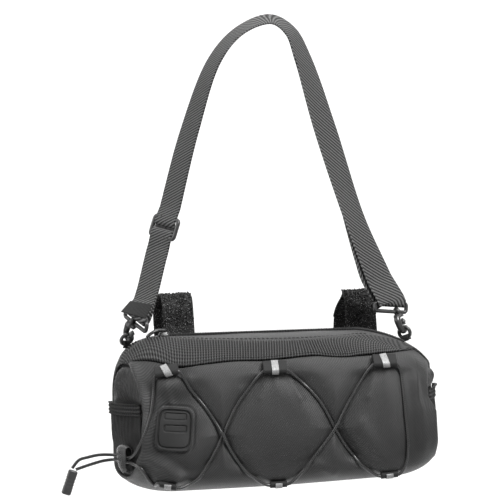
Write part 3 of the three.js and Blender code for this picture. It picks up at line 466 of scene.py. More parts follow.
def pile_cloth(name, dark, fleck):
    """Hook and pile: dark loops with pale flecks, where fine grain is high in the middle of a cell."""
    material, tree, shader, place, age = aged(name, 0.95, 160.0, 1500.0, Specular_IOR_Level=0.1)
    distance = cells(tree, place, "F1", 1000)
    high = calc(tree, "MULTIPLY", age["Grain"], calc(tree, "SUBTRACT", 1.2, distance))
    spot = calc(tree, "GREATER_THAN", high, 0.535)
    tone = calc(tree, "MULTIPLY_ADD", spot, 0.85, calc(tree, "MULTIPLY", age["Cloud"], 0.15))
    paint(tree, shader, tone, dark, fleck)
    bump(tree, shader, calc(tree, "SUBTRACT", 1.0, distance), 0.0006)
    return material


def mesh_knit(name, dark, light, pitch):
    """Stretch mesh: rows of small round eyes between yarns, from two crossing sines over its UV."""
    material, tree, shader, place, age = aged(name, 0.9, 90.0, Specular_IOR_Level=0.15)
    split = add_node(tree, "ShaderNodeSeparateXYZ")
    tree.links.new(place["UV"], split.inputs[0])
    ways = [calc(tree, step, split.outputs["X"], split.outputs["Y"]) for step in ("ADD", "SUBTRACT")]
    waves = [calc(tree, "SINE", calc(tree, "MULTIPLY", way, 2 * math.pi / pitch)) for way in ways]
    yarn = calc(tree, "MAXIMUM", *[calc(tree, "ABSOLUTE", wave) for wave in waves])
    tone = calc(tree, "MULTIPLY", yarn, calc(tree, "MULTIPLY_ADD", age["Cloud"], 0.8, 0.35))
    paint(tree, shader, tone, dark, light)
    bump(tree, shader, yarn, 0.0005)
    return material


def moulded(name, tone, roughness, coat=0.0):
    """Moulded plastic: a fine grain with slow changes of gloss."""
    material, tree, shader, _, age = aged(name, roughness, 120.0, 1600.0, Coat_Roughness=0.25,
                                          Coat_Weight=coat)
    paint(tree, shader, age["Cloud"], tone - 8, tone + 8)
    uneven_gloss(tree, shader, age["Cloud"], roughness, 0.2)
    bump(tree, shader, age["Grain"], 0.00006)
    return material


def braided(name, dark, light):
    """Sheathed elastic: crossing helices of yarn over the cord's UV."""
    material, tree, shader, place, age = aged(name, 0.7, 60.0, Coat_Weight=0.8, Coat_Roughness=0.2,
                                              Specular_IOR_Level=0.2)
    helices = [used(tree, RIBS, Vector=place["UV"], Pitch=0.0016, Slope=slope, Thread=0.0009)["Rib"]
               for slope in (0.55, -0.55)]
    yarn = calc(tree, "MAXIMUM", *helices)
    tone = calc(tree, "MULTIPLY", yarn, calc(tree, "MULTIPLY_ADD", age["Cloud"], 0.6, 0.6))
    paint(tree, shader, tone, dark, light)
    bump(tree, shader, yarn, 0.00025)
    return material


def reflective(name, dark, light):
    """Silver tape: pale, a little metallic, with a fine honeycomb and soiling."""
    material, tree, shader, place, age = aged(name, 0.4, 220.0, Metallic=0.25)
    distance = cells(tree, place, "DISTANCE_TO_EDGE", 1100)
    edge = calc(tree, "MINIMUM", calc(tree, "MULTIPLY", distance, 9.0), 1.0)
    tone = calc(tree, "MULTIPLY", edge, calc(tree, "MULTIPLY_ADD", age["Cloud"], 0.7, 0.5))
    paint(tree, shader, tone, dark, light)
    bump(tree, shader, edge, 0.00005)
    return material


# Tones are display values, and the sizes of a weave are in metres
RIB_PITCH = 2.05
# Every woven finish paints its rib grooves darker as shade, the ribbed band and the strap webbing most
# strongly through their contrast.
COATED = woven("coated_cloth", 15, 62, pitch=0.0019, slope=0.8, thread=0.0008, relief=0.0002, roughness=0.48)
RIBBED = woven("ribbed_tape", 2, 74, pitch=RIB_PITCH / 1000, slope=0.0, thread=0.0017, relief=0.0003,
               roughness=0.7, cloud=0.1, contrast=2.4, narrow=1.5, dots=0.45)
WEBBING = woven("strap_webbing", 2, 99, pitch=0.0025, slope=-0.5, thread=0.0009, relief=0.0005,
                roughness=0.75, cloud=0.1, contrast=2.0, narrow=1.3)
SLEEVE = woven("strap_sleeve_webbing", 9, 37, pitch=0.0016, slope=-0.6, thread=0.0006, relief=0.0002,
               roughness=0.75, cloud=0.2)
TAPE = woven("sewn_tape", 12, 36, pitch=0.0014, slope=0.7, thread=0.0007, relief=0.0001, roughness=0.7,
             cloud=0.25)
SATIN = woven("satin_tape", 26, 70, pitch=0.0012, slope=2.4, thread=0.0008, relief=0.00006, roughness=0.25)
PILE = pile_cloth("bar_strap_pile", 5, 130)
MESH = mesh_knit("pocket_mesh", 3, 58, pitch=0.0022)
HEM = woven("pocket_hem_elastic", 4, 46, pitch=0.0031, slope=0.0, thread=0.0006, relief=0.0004, roughness=0.8,
            cloud=0.15, contrast=1.5)
ELASTIC = braided("bungee_sheath", 2, 54)
PLASTIC = moulded("hook_plastic", 46, 0.3, 0.3)
PATCH_FINISH = moulded("patch_rubber", 19, 0.75)
# The gate is the same dark plastic as the hook; its lighter grey is a painted highlight.
GATE_FINISH_PAINTED_HIGHLIGHT = moulded("gate_plastic", 56, 0.3, 0.3)
SILVER = reflective("reflective_tape", 96, 150)
THREAD = moulded("sewing_thread", 20, 0.7)

# The slot that each finish belongs to
SLOTS = {
    COATED: "coated_cloth", RIBBED: "ribbed_cloth", MESH: "mesh_cloth", PILE: "pile", WEBBING: "webbing",
    SLEEVE: "webbing", TAPE: "webbing", SATIN: "webbing", THREAD: "webbing", HEM: "elastic",
    ELASTIC: "elastic", PLASTIC: "plastic", PATCH_FINISH: "plastic", GATE_FINISH_PAINTED_HIGHLIGHT: "gate_plastic",
    SILVER: "reflective",
}

# Body: the same sizes as the solids
HALF_LENGTH, END_SLANT, WALL, SAG, TAPER = 119.5, 0.249, 1.6, 0.8, 0.036
SEAM, END_SEAM, FILLET_FROM = 0.02, 0.012, 0.66
TOP_FROM, TOP_FULL = 36, 60
PROFILE = {
    "topBack": (36, 59), "zipBack": (6, 61.5), "zipFront": (-1, 61.3), "bandTop": (-19, 57),
    "bandLow": (-38, 42), "frontHigh": (-44.5, 24), "frontMid": (-47, -2), "frontLow": (-44, -30),
    "frontTurn": (-33, -50), "bottomMid": (-4, -58), "bottomBack": (28, -56), "backLow": (41, -42),
    "backMid": (43, 0), "backHigh": (42, 44),
}
KNOT = {name: i for i, name in enumerate(PROFILE)}
KNOTS = np.array(list(PROFILE.values()), float)
END_CENTRE_Y, END_HALF_DEPTH, END_POWER = 2, 38, 2.4
LEFT = {"sign": -1, "top": 42, "bottom": -44, "fromTop": 0.7, "fromLow": 0.72, "fullTop": 1, "bulge": 4.5,
        "brow": 1}
RIGHT = {"sign": 1, "top": 28, "bottom": -40, "fromTop": 0.52, "fromLow": 0.72, "fullTop": 0.75, "bulge": 2,
         "brow": 3.4}
ENDS = {"left": LEFT, "right": RIGHT}
FULL_RIGHT, FULL_LEFT = 6.6, 5.0
# Where the front begins under the band, its depth, and where the bar straps are sewn on behind
FRONT_FROM, FRONT_DEPTH = KNOT["bandLow"] - 0.6, 44
BAR_X = {"left": -73, "right": 75.5}


def section(t):
    """Depth and height of the body's profile: the closed curve through its knots at t."""
    i = np.floor(t).astype(int)
    p0, p1, p2, p3 = (KNOTS[(i + k) % len(KNOTS)] for k in (-1, 0, 1, 2))
    return catmull(p0, p1, p2, p3, (t - i)[..., None])


def end_share(top, bottom, y, z):
    """How far a place lies from the middle of an end, 1 on its seam: a superellipse in Y and Z."""
    across = np.abs((y - END_CENTRE_Y) / END_HALF_DEPTH) ** END_POWER
    up = np.abs((z - (top + bottom) / 2) / ((top - bottom) / 2)) ** END_POWER
    return (across + up) ** (1 / END_POWER)


def fuller(s, y, z, turned):
    """Extra length of an end where it turns in: the right one's front is fuller, less so at the bottom,
    and so is the left one's bottom."""
    right = FULL_RIGHT * smooth(-z, -8, 6) * smooth(-y, -20, 30) * (1 - 0.4 * smooth(-z, 26, 42))
    return turned * np.where(s > 0, right, -FULL_LEFT * smooth(-z, 20, 42))


def body_base(s, t):
    """The body without its dents: the profile swept along X, rounding into the seam loop at each end
    over a quarter circle, tapered to the right and sagging under its middle."""
    def by_end(key):
        return np.where(s < 0, LEFT[key], RIGHT[key])
    y0, z0 = np.moveaxis(section(t), -1, 0)
    high = smooth(z0, TOP_FROM, TOP_FULL)
    start = mix(by_end("fromLow"), by_end("fromTop"), high)
    share = np.minimum(np.abs(s), 1)
    angle = np.clip((share - FILLET_FROM) / (1 - FILLET_FROM), 0, 1) * np.pi / 2
    along = np.where(share > FILLET_FROM, start + (1 - start) * np.sin(angle), start * share / FILLET_FROM)
    turned = (1 - np.cos(angle)) ** mix(1, by_end("fullTop"), high)
    top, bottom = by_end("top"), by_end("bottom")
    middle = (top + bottom) / 2
    reach = end_share(top, bottom, y0, z0)
    seam_y = END_CENTRE_Y + (y0 - END_CENTRE_Y) / reach
    seam_z = middle + (z0 - middle) / reach
    sag = SAG * (1 - along ** 2) * np.maximum(0, z0 / PROFILE["bottomMid"][1])
    taper = TAPER * by_end("sign") * along * np.where((z0 < 0) & (s < 0), 0, 1)
    z = mix(z0 * (1 - taper) - sag, seam_z, turned)
    y = mix(y0, seam_y, turned)
    x = by_end("sign") * along * (HALF_LENGTH + END_SLANT * y) + fuller(s, y, z, turned)
    return np.stack([x, y, z], axis=-1)


def body_normal(s, t):
    """Outward direction of the undented body, square to its two tangents."""
    d = 0.004
    along = body_base(np.clip(s + d, -1, 1), t) - body_base(np.clip(s - d, -1, 1), t)
    around = body_base(s, t + 0.02) - body_base(s, t - 0.02 + len(KNOTS))
    normal = unit(np.cross(along, around))
    place = body_base(s, t)
    outward = place * [0.4, 1, 1]
    flip = np.where(np.einsum("...i,...i->...", normal, outward) < 0, -1, 1)
    return normal * flip[..., None]


def along_body(s, line):
    """Distance along the body at a profile place, from the middle of its length."""
    rows = np.linspace(-1, 1, 801)
    way = lengths(body_base(rows, np.full(801, float(line))))
    return np.interp(s, rows, way - way[400])


# Lacing: tabs that hold it, and the places that each run passes on the way to its tab
EDGE = 10.6
TABS = {
    "top_left": {"cord": (-92.04, -43.14, 36.22), "across": (0.98, -0.16, 0.13),
                 "out": (-0.19, -0.92, 0.33), "reach": 6.5, "down": 1, "at": (-91.5, 35.3)},
    "top_middle": {"cord": (-8.79, -44.72, 33.51), "across": (1, 0, -0.01),
                   "out": (0, -0.96, 0.29), "reach": 8, "down": 1, "at": (-8.8, 32.8)},
    "top_right": {"cord": (77.01, -44.43, 34.06), "across": (1, 0.01, -0.02),
                  "out": (0, -0.95, 0.32), "reach": 8, "down": 1, "at": (77, 33.2)},
    "bottom_left": {"cord": (-94.79, -35.54, -50.47), "across": (0.95, -0.16, -0.26),
                    "out": (-0.12, -0.36, -0.92), "reach": 7, "down": -1, "at": (-94, -47.2)},
    "bottom_middle": {"cord": (-8.98, -34.06, -54.78), "across": (1, 0, 0.01),
                      "out": (0, -0.36, -0.93), "reach": 7, "down": -1, "at": (-9, -51)},
    "bottom_right": {"cord": (78.11, -34.01, -52.66), "across": (1, 0, 0.05),
                     "out": (0.03, -0.36, -0.93), "reach": 7, "down": -1, "at": (78, -49.3)},
}
CROSS_LEFT, CROSS_RIGHT = (-51, -14), (36, -13.5)
RUNS = [
    {"to": "top_left", "way": 1, "press": 0.5, "over": 0,
     "places": [(-106, 7), (-103.8, 20), (-102.5, 29)]},
    {"to": "bottom_middle", "way": 1, "press": 1, "over": 1,
     "places": [(-75, 24.6), (-64, 9.2), CROSS_LEFT, (-44, -30), (-34.5, -43.5), (-26, -49)]},
    {"to": "top_right", "way": 1, "press": 1, "over": 1,
     "places": [(4.5, -49.6), (12.7, -43.4), (21.2, -33.6), CROSS_RIGHT, (48, 7.4), (58, 22.6)]},
    {"to": "bottom_right", "way": -1, "press": 0.5, "over": 0,
     "places": [(90, 27), (91, 11.6), (91.3, -3.8), (92.4, -19.5), (93, -33.8), (91.5, -44)]},
    {"to": "top_middle", "way": -1, "press": 1, "over": 0,
     "places": [(64, -48.2), (57, -45), (44.5, -30), CROSS_RIGHT, (25, 8.4), (12, 24.4)]},
    {"to": "bottom_left", "way": -1, "press": 1, "over": 0,
     "places": [(-28.5, 22.8), (-40.3, 7.4), CROSS_LEFT, (-58.5, -29), (-63.2, -37), (-70, -45.4),
                (-77, -49.4)]},
]
CORD_RADIUS = 1.25


def run_lines():
    """Each run in X and Z, from the side of the tab before it to the side of its own tab."""
    lines = []
    last = None
    for run in RUNS:
        x, z = TABS[run["to"]]["at"]
        start = []
        if last:
            start = [(TABS[last["to"]]["at"][0] + last["way"] * EDGE, TABS[last["to"]]["at"][1])]
        lines.append(resample(spline([*start, *run["places"], (x - run["way"] * EDGE, z)]), 2.4))
        last = run
    return lines


RUN_LINES = run_lines()


def off_line(x, z, line):
    """Distance of places in X and Z from a line of points: the least over its stretches."""
    best = np.full(x.shape, 1e9)
    for (ax, az), (bx, bz) in zip(line[:-1], line[1:]):
        dx, dz = bx - ax, bz - az
        w = np.clip(((x - ax) * dx + (z - az) * dz) / (dx * dx + dz * dz), 0, 1)
        best = np.minimum(best, np.hypot(x - ax - w * dx, z - az - w * dz))
    return best


# Patch on the front, and its two slots by their middles
PATCH = {"x": -88.2, "z": -6.8, "halfWidth": 14.1, "halfHeight": 16.8, "corner": 6.2, "turn": 6,
         "thick": 1.6, "rim": 0.6}
PATCH_SLOT = {"middles": [(0, 9.6), (0.5, 0.4)], "halfWidth": 8.8, "halfHeight": 2.7, "corner": 1.6,
              "deep": 0.7}


def off_block(a, b, half_a, half_b, corner):
    """Distance of places from a rounded block's outline, less than zero inside it."""
    a, b = np.abs(a) - half_a + corner, np.abs(b) - half_b + corner
    return np.hypot(np.maximum(a, 0), np.maximum(b, 0)) + np.minimum(np.maximum(a, b), 0) - corner


def off_patch(x, z):
    """Distance of places in X and Z from the patch's outline."""
    turn, x, z = math.radians(PATCH["turn"]), x - PATCH["x"], z - PATCH["z"]
    return off_block(x * math.cos(turn) - z * math.sin(turn), x * math.sin(turn) + z * math.cos(turn),
                     PATCH["halfWidth"], PATCH["halfHeight"], PATCH["corner"])


# Valleys under the runs: a broad one and a groove in it, each with its depth and half width. The channel
# round the patch has a depth, its distance from the patch and a half width
VALLEY, GROOVE, CHANNEL = (4.2, 9.0), (1.3, 2.4), (0.9, 0.9, 1.0)
RIPPLE = 0.16
# Soft folds of the front: two ends in X and Z, half width and height
FRONT_FOLDS = [
    (CROSS_LEFT, (-46, -23), 9.0, -1.3), (CROSS_RIGHT, (42, -23.5), 9.0, -1.6),
    ((-85, 14), (-76, -6), 15.0, -4.2), ((-95, 27), (-77, 26), 7.0, 3.4),
    ((-91, 12), (-74, 11), 6.5, -1.2), ((-94, 24), (-90, 12), 3.0, 1.2),
    ((40, -18), (50, -36), 5.0, -2.4), ((55, -12), (70, -38), 7.0, 1.9),
    ((-108, -30), (-84, -45), 4.0, 2.4), ((-98, -24), (-78, -40), 4.0, -1.6),
    ((-34, 20), (-20, 30), 6.0, 1.2), ((97, 26), (99, -30), 5.0, -1.3),
    ((104, 20), (106, -34), 5.0, 0.9), ((2, 30), (10, 12), 3.0, 0.8),
    ((-14, 30), (-22, 14), 3.0, 0.7), ((68, 26), (62, 10), 3.0, 0.9),
    ((20, -40), (34, -48), 4.0, 1.3), ((-102, -46), (-87, -46), 5.0, 2.2),
    ((-17, -49), (-1, -49), 5.0, 2.2), ((70, -47.5), (86, -47.5), 5.0, 2.2),
    ((-32, -30), (-22, -44), 4.0, 1.2),
]


def front_relief(place, cord_share=1.0):
    """Height of the front cloth over the undented body: valleys of a broad and a narrow bell along the
    runs, fading out at the tabs, the soft folds, a slow ripple and a channel round the patch."""
    x, y, z = np.moveaxis(place, -1, 0)
    facing = smooth(-y, 20, 34)
    pulled = (1 - 0.8 * smooth(-z, 36, 48)) * (1 - 0.6 * smooth(z, 24, 33))
    broad, narrow = np.zeros((2, *x.shape))
    for run, line in zip(RUNS, RUN_LINES):
        away = off_line(x, z, line)
        broad = np.maximum(broad, VALLEY[0] * run["press"] * bell(away, VALLEY[1]))
        narrow = np.maximum(narrow, GROOVE[0] * run["press"] * bell(away, GROOVE[1]))
    folds = sum(height * bell(off_line(x, z, ends), width) for *ends, width, height in FRONT_FOLDS)
    ripple = RIPPLE * np.sin(x / 7.3 + 0.6 * np.sin(z / 9)) * np.sin(z / 11 + x / 31)
    channel = CHANNEL[0] * bell(off_patch(x, z) - CHANNEL[1], CHANNEL[2])
    return facing * (folds + ripple - channel - pulled * (broad + cord_share * narrow))


# Edges of the ribbed band by the share of the length: it spreads over the top at the left end and runs
# out to a tip at the right end
BAND_TOP = np.array([(-1, 0.4), (-0.85, 0.45), (-0.79, 0.9), (-0.75, 1.6), (-0.7, 2.35), (-0.63, 2.63),
                     (-0.468, 2.88), (-0.2, 3.08), (0.155, 3.15), (0.6, 3.0), (0.88, 2.35), (1, 2.2)])
BAND_EDGE = np.array([(-1, 2.1), (-0.97, 2.65), (-0.93, 3.14), (-0.865, 3.49), (-0.8, 3.76), (-0.745, 4.0),
                      (-0.69, 4.17), (-0.62, 4.16), (-0.52, 4.1), (-0.36, 4.02), (-0.1, 4.02), (0.1, 3.94),
                      (0.22, 3.92), (0.32, 4.0), (0.42, 4.03), (0.52, 3.98), (0.62, 3.95), (0.7, 3.89),
                      (0.775, 3.66), (0.82, 3.38), (0.853, 2.96), (0.88, 2.55), (1, 2.4)])
BAND_LINE, RIB_LEAN = 3.5, {"all": 3, "right": 23}


def edge_at(rows, s):
    """Profile place of an edge, eased between its rows."""
    fine = spline(rows, 8)
    return np.interp(s, fine[:, 0], fine[:, 1])


def band_top(s):
    """Upper edge of the band."""
    return edge_at(BAND_TOP, s)


def band_edge(s):
    """Lower edge of the band."""
    return edge_at(BAND_EDGE, s)


def flap_back(s):
    """The smooth strip's edge at the zip, tucked under the band where the band covers the top."""
    return np.minimum(KNOT["zipFront"], band_top(s))


def flap_front(s):
    """The smooth strip's edge at the band."""
    return np.maximum(band_top(s), flap_back(s) + 0.1)


def tape_back(s):
    """The zip tape's edge at the top panel, tucked under the band as well."""
    return np.minimum(KNOT["zipBack"], band_top(s))


def tape_front(s):
    """The zip tape's edge at the smooth strip."""
    return np.minimum(KNOT["zipFront"], np.maximum(band_top(s), tape_back(s)) + 0.1)


def panel_grid(from_knot, to_knot, along, around):
    """Body parameters over a panel between two knots, or between knots that change along the length."""
    s = np.linspace(-1 + END_SEAM, 1 - END_SEAM, along)[:, None]
    w = np.linspace(0, 1, around)[None]
    low, high = (knot(s) if callable(knot) else knot + 0 * s for knot in (from_knot, to_knot))
    return s + 0 * w, mix(low + SEAM, high - SEAM, w)


def seam_roll(s, t):
    """The rolled edge along an end seam: a bead near the end of the length, fuller at the left front."""
    front = smooth(t, 2.3, 3.6) * smooth(-t, -8.4, -7.4)
    size = np.where(s < 0, 1.0 + 2.6 * front, 0.9)
    return size * bell(1 - np.abs(s) - 0.03, 0.026 + 0.02 * front)


def panel(name, from_knot, to_knot, line, along, around, finish, relief=None, thick=WALL, lift=0.0,
          lean=None):
    """A panel of the body, raised by its relief, with its inner face a wall's thickness inside. Its weave
    is measured along the profile place that line names, and leans where lean says so."""
    s, t = panel_grid(from_knot, to_knot, along, around)
    base, normal = body_base(s, t), body_normal(s, t)
    height = lift + (relief(s, t, base) if relief else 0) + np.zeros_like(s)
    outer = base + normal * height[..., None]
    inner = base + normal * (np.minimum(height, lift) - thick)[..., None]
    u = (along_body(s[:, :1], line) + (lean(s, t) if lean else 0)) / 1000
    return shell(name, outer, inner, u, lengths(base[along // 2]) / 1000, finish)


def front_height(s, t, place):
    """The front's relief and the roll at its end seams."""
    return front_relief(place) + seam_roll(s, t)


def back_height(s, t, place):
    """Slack cloth of the back: slow waves and a shallow pull at the bar straps."""
    x, y, z = np.moveaxis(place, -1, 0)
    pull = sum(bell(np.hypot(x - sewn, z - 22), 22) for sewn in BAR_X.values())
    wave = 0.5 * np.sin(x / 17 + z / 29) * np.sin(z / 21 - x / 63)
    return wave * smooth(y, 10, 30) - 0.6 * pull * smooth(y, 30, 40) + seam_roll(s, t)


def top_height(s, t, place):
    """Slack cloth of the top: slow waves along its length."""
    x, y, _ = np.moveaxis(place, -1, 0)
    return 0.35 * np.sin(x / 13 + y / 11) * np.sin(x / 37) + seam_roll(s, t)


def rib_lean(s, t):
    """Shift of the band's ribs along the length: they lean a little, and more towards the right end."""
    return (RIB_LEAN["all"] + RIB_LEAN["right"] * smooth(s, 0.2, 0.75)) * (t - BAND_LINE)


def band_height(s, t, place):
    """Ribs of the band: a sine along the length at the rib pitch, leaning with the band, that sinks
    into the seams at both edges."""
    x = along_body(s[:, :1], BAND_LINE) + rib_lean(s, t)
    rib = 0.5 + 0.5 * np.sin(2 * np.pi * x / RIB_PITCH)
    edge = smooth(t - band_top(s), 0, 0.14) * smooth(band_edge(s) - t, 0, 0.1)
    return edge * (0.9 * rib + 0.2 * np.sin(x / 9)) - 0.35 * (1 - edge)


panel("front_panel", band_edge, KNOT["bottomMid"], 6, 260, 140, COATED, front_height)
panel("back_panel", KNOT["bottomMid"], len(KNOTS), 12, 120, 90, COATED, back_height)
panel("top_panel", KNOT["topBack"], tape_back, 0.5, 160, 22, COATED, top_height)
panel("top_flap", flap_back, flap_front, 2.5, 160, 16, COATED, top_height)
panel("zip_tape", tape_back, tape_front, 1.5, 160, 8, TAPE, thick=1.2, lift=-0.4)
panel("ribbed_band", band_top, band_edge, BAND_LINE, 1000, 44, RIBBED, band_height, WALL + 0.8, 0.8, rib_lean)

# Ends
POCKET = {"hemLow": 3.5, "hemHigh": 12.5, "hemGap": 0.2, "standOff": 3.0, "behind": 6, "edgeGap": 0.6,
          "cloth": 1, "hem": 1.6, "row": 3.1}
# Humps of an end above its pocket: place across the depth, half width and height
GATHERS = ((-22, 5, 1.4), (-9, 6, 1.8), (6, 6, 1.6), (20, 5, 1.2))


def gathers(y, fine):
    """Gathers of an end above its pocket: humps across the depth and, by a share, fine pleats."""
    humps = sum(height * bell(y - at, width) for at, width, height in GATHERS)
    pleats = 1.1 * np.sin(2 * np.pi * (y + 1.6 * np.sin(y / 5)) / 5.4) + 0.6 * np.sin(y * 2.3 + 1.2)
    return humps + fine * pleats


def end_out(end, y, z, lift=0.0, fine=0.0):
    """A place on an end: out to the slanted half length, its bulge and its gathers."""
    share = np.minimum(end_share(end["top"], end["bottom"], y, z), 1)
    upper = smooth(z, POCKET["hemHigh"], POCKET["hemHigh"] + 12) * (1 - share ** 4)
    swell = end["bulge"] * (1 - share ** 2) + upper * gathers(y, fine)
    swell = swell + end["brow"] * smooth(z, 9, 15) * (1 - share ** 6)
    swell = swell + FULL_LEFT * (end["sign"] < 0) * smooth(-z, 20, 42)
    return np.stack([end["sign"] * (HALF_LENGTH + END_SLANT * y + swell + lift), y, z], axis=-1)


def end_panel(name, end):
    """The wall inside an end's seam loop on rings of shrinking superellipses, set in behind the pocket."""
    share = np.linspace(1.07, 0.01, 46)[:, None]
    angle = np.linspace(0, 2 * np.pi, 160, endpoint=False)[None]
    half, middle = (end["top"] - end["bottom"]) / 2, (end["top"] + end["bottom"]) / 2
    y, z = np.cos(angle) * END_HALF_DEPTH, np.sin(angle) * half
    grow = share / end_share(end["top"], end["bottom"], END_CENTRE_Y + y, middle + z)
    y, z = END_CENTRE_Y + y * grow, middle + z * grow
    low = 1 - smooth(z, POCKET["hemLow"], POCKET["hemHigh"] + 16)
    inward = POCKET["behind"] * low * np.maximum(1 - share ** 2, 0) + 2.4 * smooth(share, 0.93, 1.0)
    outer = end_out(end, y, z, -inward, 1.0)
    inner = end_out(end, y, z, -inward - WALL)
    return shell(name, outer, inner, share[:, 0] * 0.04, np.linspace(0, 0.24, 161), COATED, True)


def pocket_cloth(name, end, low, high, rows, thick, finish, relief):
    """Pocket cloth over the lower part of an end, which stands off more towards its hem and less
    towards its sides, with its relief on top."""
    across = np.linspace(-1, 1, 90)[None]
    z = np.linspace(low, high, rows)[:, None] + 0 * across
    up = np.minimum(np.abs((z - (end["top"] + end["bottom"]) / 2) / ((end["top"] - end["bottom"]) / 2)), 1)
    depth = END_HALF_DEPTH * (1 - up ** END_POWER) ** (1 / END_POWER) * 0.94
    y = END_CENTRE_Y + across * depth
    rise = smooth(z, end["bottom"], POCKET["hemLow"])
    stand = POCKET["standOff"] * (end["sign"] < 0)
    off = POCKET["edgeGap"] - 0.4 * (end["sign"] > 0) + stand * rise * (1 - np.abs(across) ** 2.5)
    outer = end_out(end, y, z, off + thick + relief(y, z))
    inner = end_out(end, y, z, off)
    return shell(name, outer, inner, z[:, 0] / 1000, y[rows // 2] / 1000, finish)


def mesh_relief(y, z):
    """Small gathers of the mesh that run down from the hem and fade."""
    wave = np.sin(2 * np.pi * (y + 2.2 * np.sin(z / 9)) / 6.3) + 0.6 * np.sin(y / 1.3 - z / 5)
    return 0.3 * wave * smooth(z, -34, 2) + 0.6 * np.sin((y + z) / 7)


def hem_relief(y, z):
    """Rows of elastic in the hem: a cosine down its height, puckered along it."""
    rows = 0.9 * np.abs(np.cos(np.pi * (z - POCKET["hemLow"]) / POCKET["row"]))
    return rows + 0.25 * np.sin(2 * np.pi * y / POCKET["row"])


for side, end in ENDS.items():
    end_panel("end_panel_" + side, end)
    pocket_cloth("mesh_pocket_" + side, end, end["bottom"] + 3, POCKET["hemLow"] - POCKET["hemGap"], 60,
                 POCKET["cloth"], MESH, mesh_relief)
    pocket_cloth("pocket_hem_" + side, end, POCKET["hemLow"] + POCKET["hemGap"], POCKET["hemHigh"], 26,
                 POCKET["hem"], HEM, hem_relief)


def front_place(x, z):
    """Body parameters of the front at X and Z: a guess from the straight middle of the body, then
    Newton's steps, held on the front."""
    wanted = np.stack(np.broadcast_arrays(x, z), axis=-1).astype(float)
    rows = np.linspace(FRONT_FROM, KNOT["bottomMid"], 200)
    t = np.interp(-wanted[..., 1], -section(rows)[:, 1], rows)
    along = np.clip(np.abs(wanted[..., 0]) / (HALF_LENGTH - FRONT_DEPTH * END_SLANT), 0, 0.985)
    start = LEFT["fromLow"]
    angle = np.arcsin(np.clip((along - start) / (1 - start), 0, 1))
    share = np.where(along > start, FILLET_FROM + (1 - FILLET_FROM) * angle / (np.pi / 2),
                     along * FILLET_FROM / start)
    s = np.sign(wanted[..., 0]) * share
    small = 1e-3
    for _ in range(8):
        here = body_base(s, t)[..., [0, 2]]
        ds = (body_base(s + small, t)[..., [0, 2]] - here) / small
        dt = (body_base(s, t + small)[..., [0, 2]] - here) / small
        miss = wanted - here
        det = ds[..., 0] * dt[..., 1] - ds[..., 1] * dt[..., 0]
        det = np.where(np.abs(det) < 20, -20, det)
        step_s = (miss[..., 0] * dt[..., 1] - miss[..., 1] * dt[..., 0]) / det
        step_t = (ds[..., 0] * miss[..., 1] - ds[..., 1] * miss[..., 0]) / det
        s = np.clip(s + np.clip(step_s, -0.05, 0.05), -0.99, 0.99)
        t = np.clip(t + np.clip(step_t, -0.4, 0.4), FRONT_FROM, KNOT["bottomMid"])
    return s, t


def over_front(x, z, lift, cord_share=1.0):
    """Points over the front cloth at X and Z, raised by a distance."""
    s, t = front_place(x, z)
    base = body_base(s, t)
    height = front_relief(base, cord_share) + seam_roll(s, t) + lift
    return base + body_normal(s, t) * np.asarray(height)[..., None]


# Tabs: two plies from the seam that fold round the cord, with a reflective strip that leans on two of them
PLY, PLY_GAP, CORD_ROOM = 0.9, 0.45, 0.4
CORD_IN_TAB = PLY_GAP + PLY + CORD_ROOM + CORD_RADIUS
FOLD_RADIUS = CORD_RADIUS + CORD_ROOM + PLY / 2
TOP_TAB_HALF, BOTTOM_TAB_HALF = 9.2, 6.6
REFLECTOR = {"half": 2.7, "halfThick": 0.25, "gap": 0.4, "lean": {"top_left": 4.0, "top_right": 2.6}}


def tab_path(row):
    """Middle line of a tab in its own plane: under ply, half circle round the cord and upper ply."""
    cord, across, out = vec(*row["cord"]), unit(vec(*row["across"])), unit(vec(*row["out"]))
    down = unit(np.cross(across, out))
    down = -down if down[2] * row["down"] > 0 else down
    angle = np.radians(np.linspace(-90, 90, 13))
    reach = row["reach"]
    under = PLY_GAP + PLY / 2
    plan = np.concatenate([
        [[-reach, under], [-reach / 2, under]],
        np.stack([FOLD_RADIUS * np.cos(angle), CORD_IN_TAB + FOLD_RADIUS * np.sin(angle)], axis=1),
        [[-reach / 2, CORD_IN_TAB + FOLD_RADIUS - 1.2], [-reach, under + PLY + 0.35]],
    ])
    return cord + plan[:, :1] * down + (plan[:, 1:] - CORD_IN_TAB) * out, across, cord


def cord_tab(name, row):
    """A tab, and its strip over the outer half of the fold and the upper ply."""
    path, across, cord = tab_path(row)
    half = TOP_TAB_HALF if row["down"] > 0 else BOTTOM_TAB_HALF
    ribbon("cord_tab_" + name, resample(spline(path, 6), 0.5), across, half, PLY / 2, TAPE)
    outside = path[8:]
    away = unit(np.cross(tangents(outside), across))
    away = away * np.where(np.einsum("ij,ij->i", away, outside - cord) < 0, -1, 1)[:, None]
    face = resample(spline(outside + away * (PLY / 2 + REFLECTOR["gap"]), 5), 0.5)
    face = face + np.linspace(0.5, -0.5, len(face))[:, None] * REFLECTOR["lean"].get(name, 0) * across
    ribbon("reflector_" + name, face, across, REFLECTOR["half"], REFLECTOR["halfThick"], SILVER)


for name, row in TABS.items():
    cord_tab(name, row)

# Lacing
TUNNEL_MIDDLE = vec(-125.37, -14.19, -30.51)
TUNNEL_ALONG, TUNNEL_OUT = vec(-0.32, 0.947, 0), vec(-0.947, -0.32, 0)
TUNNEL_HALF, CORD_GAP, TAB_SIDE = 9, 1.6, 8.6


def in_tunnel(along, rise, out=0.0):
    """A point in the cord tunnel by its own directions."""
    return TUNNEL_MIDDLE + along * TUNNEL_ALONG + out * TUNNEL_OUT + rise * UP


UPPER_TURN = [(-119.4, -28.0, -26.5), (-114.6, -36.0, -18.0), (-110.4, -40.2, -8.0)]
LOWER_TURN = np.array([(-103, -48.6), (-108, -44.6), (-112.6, -36)])


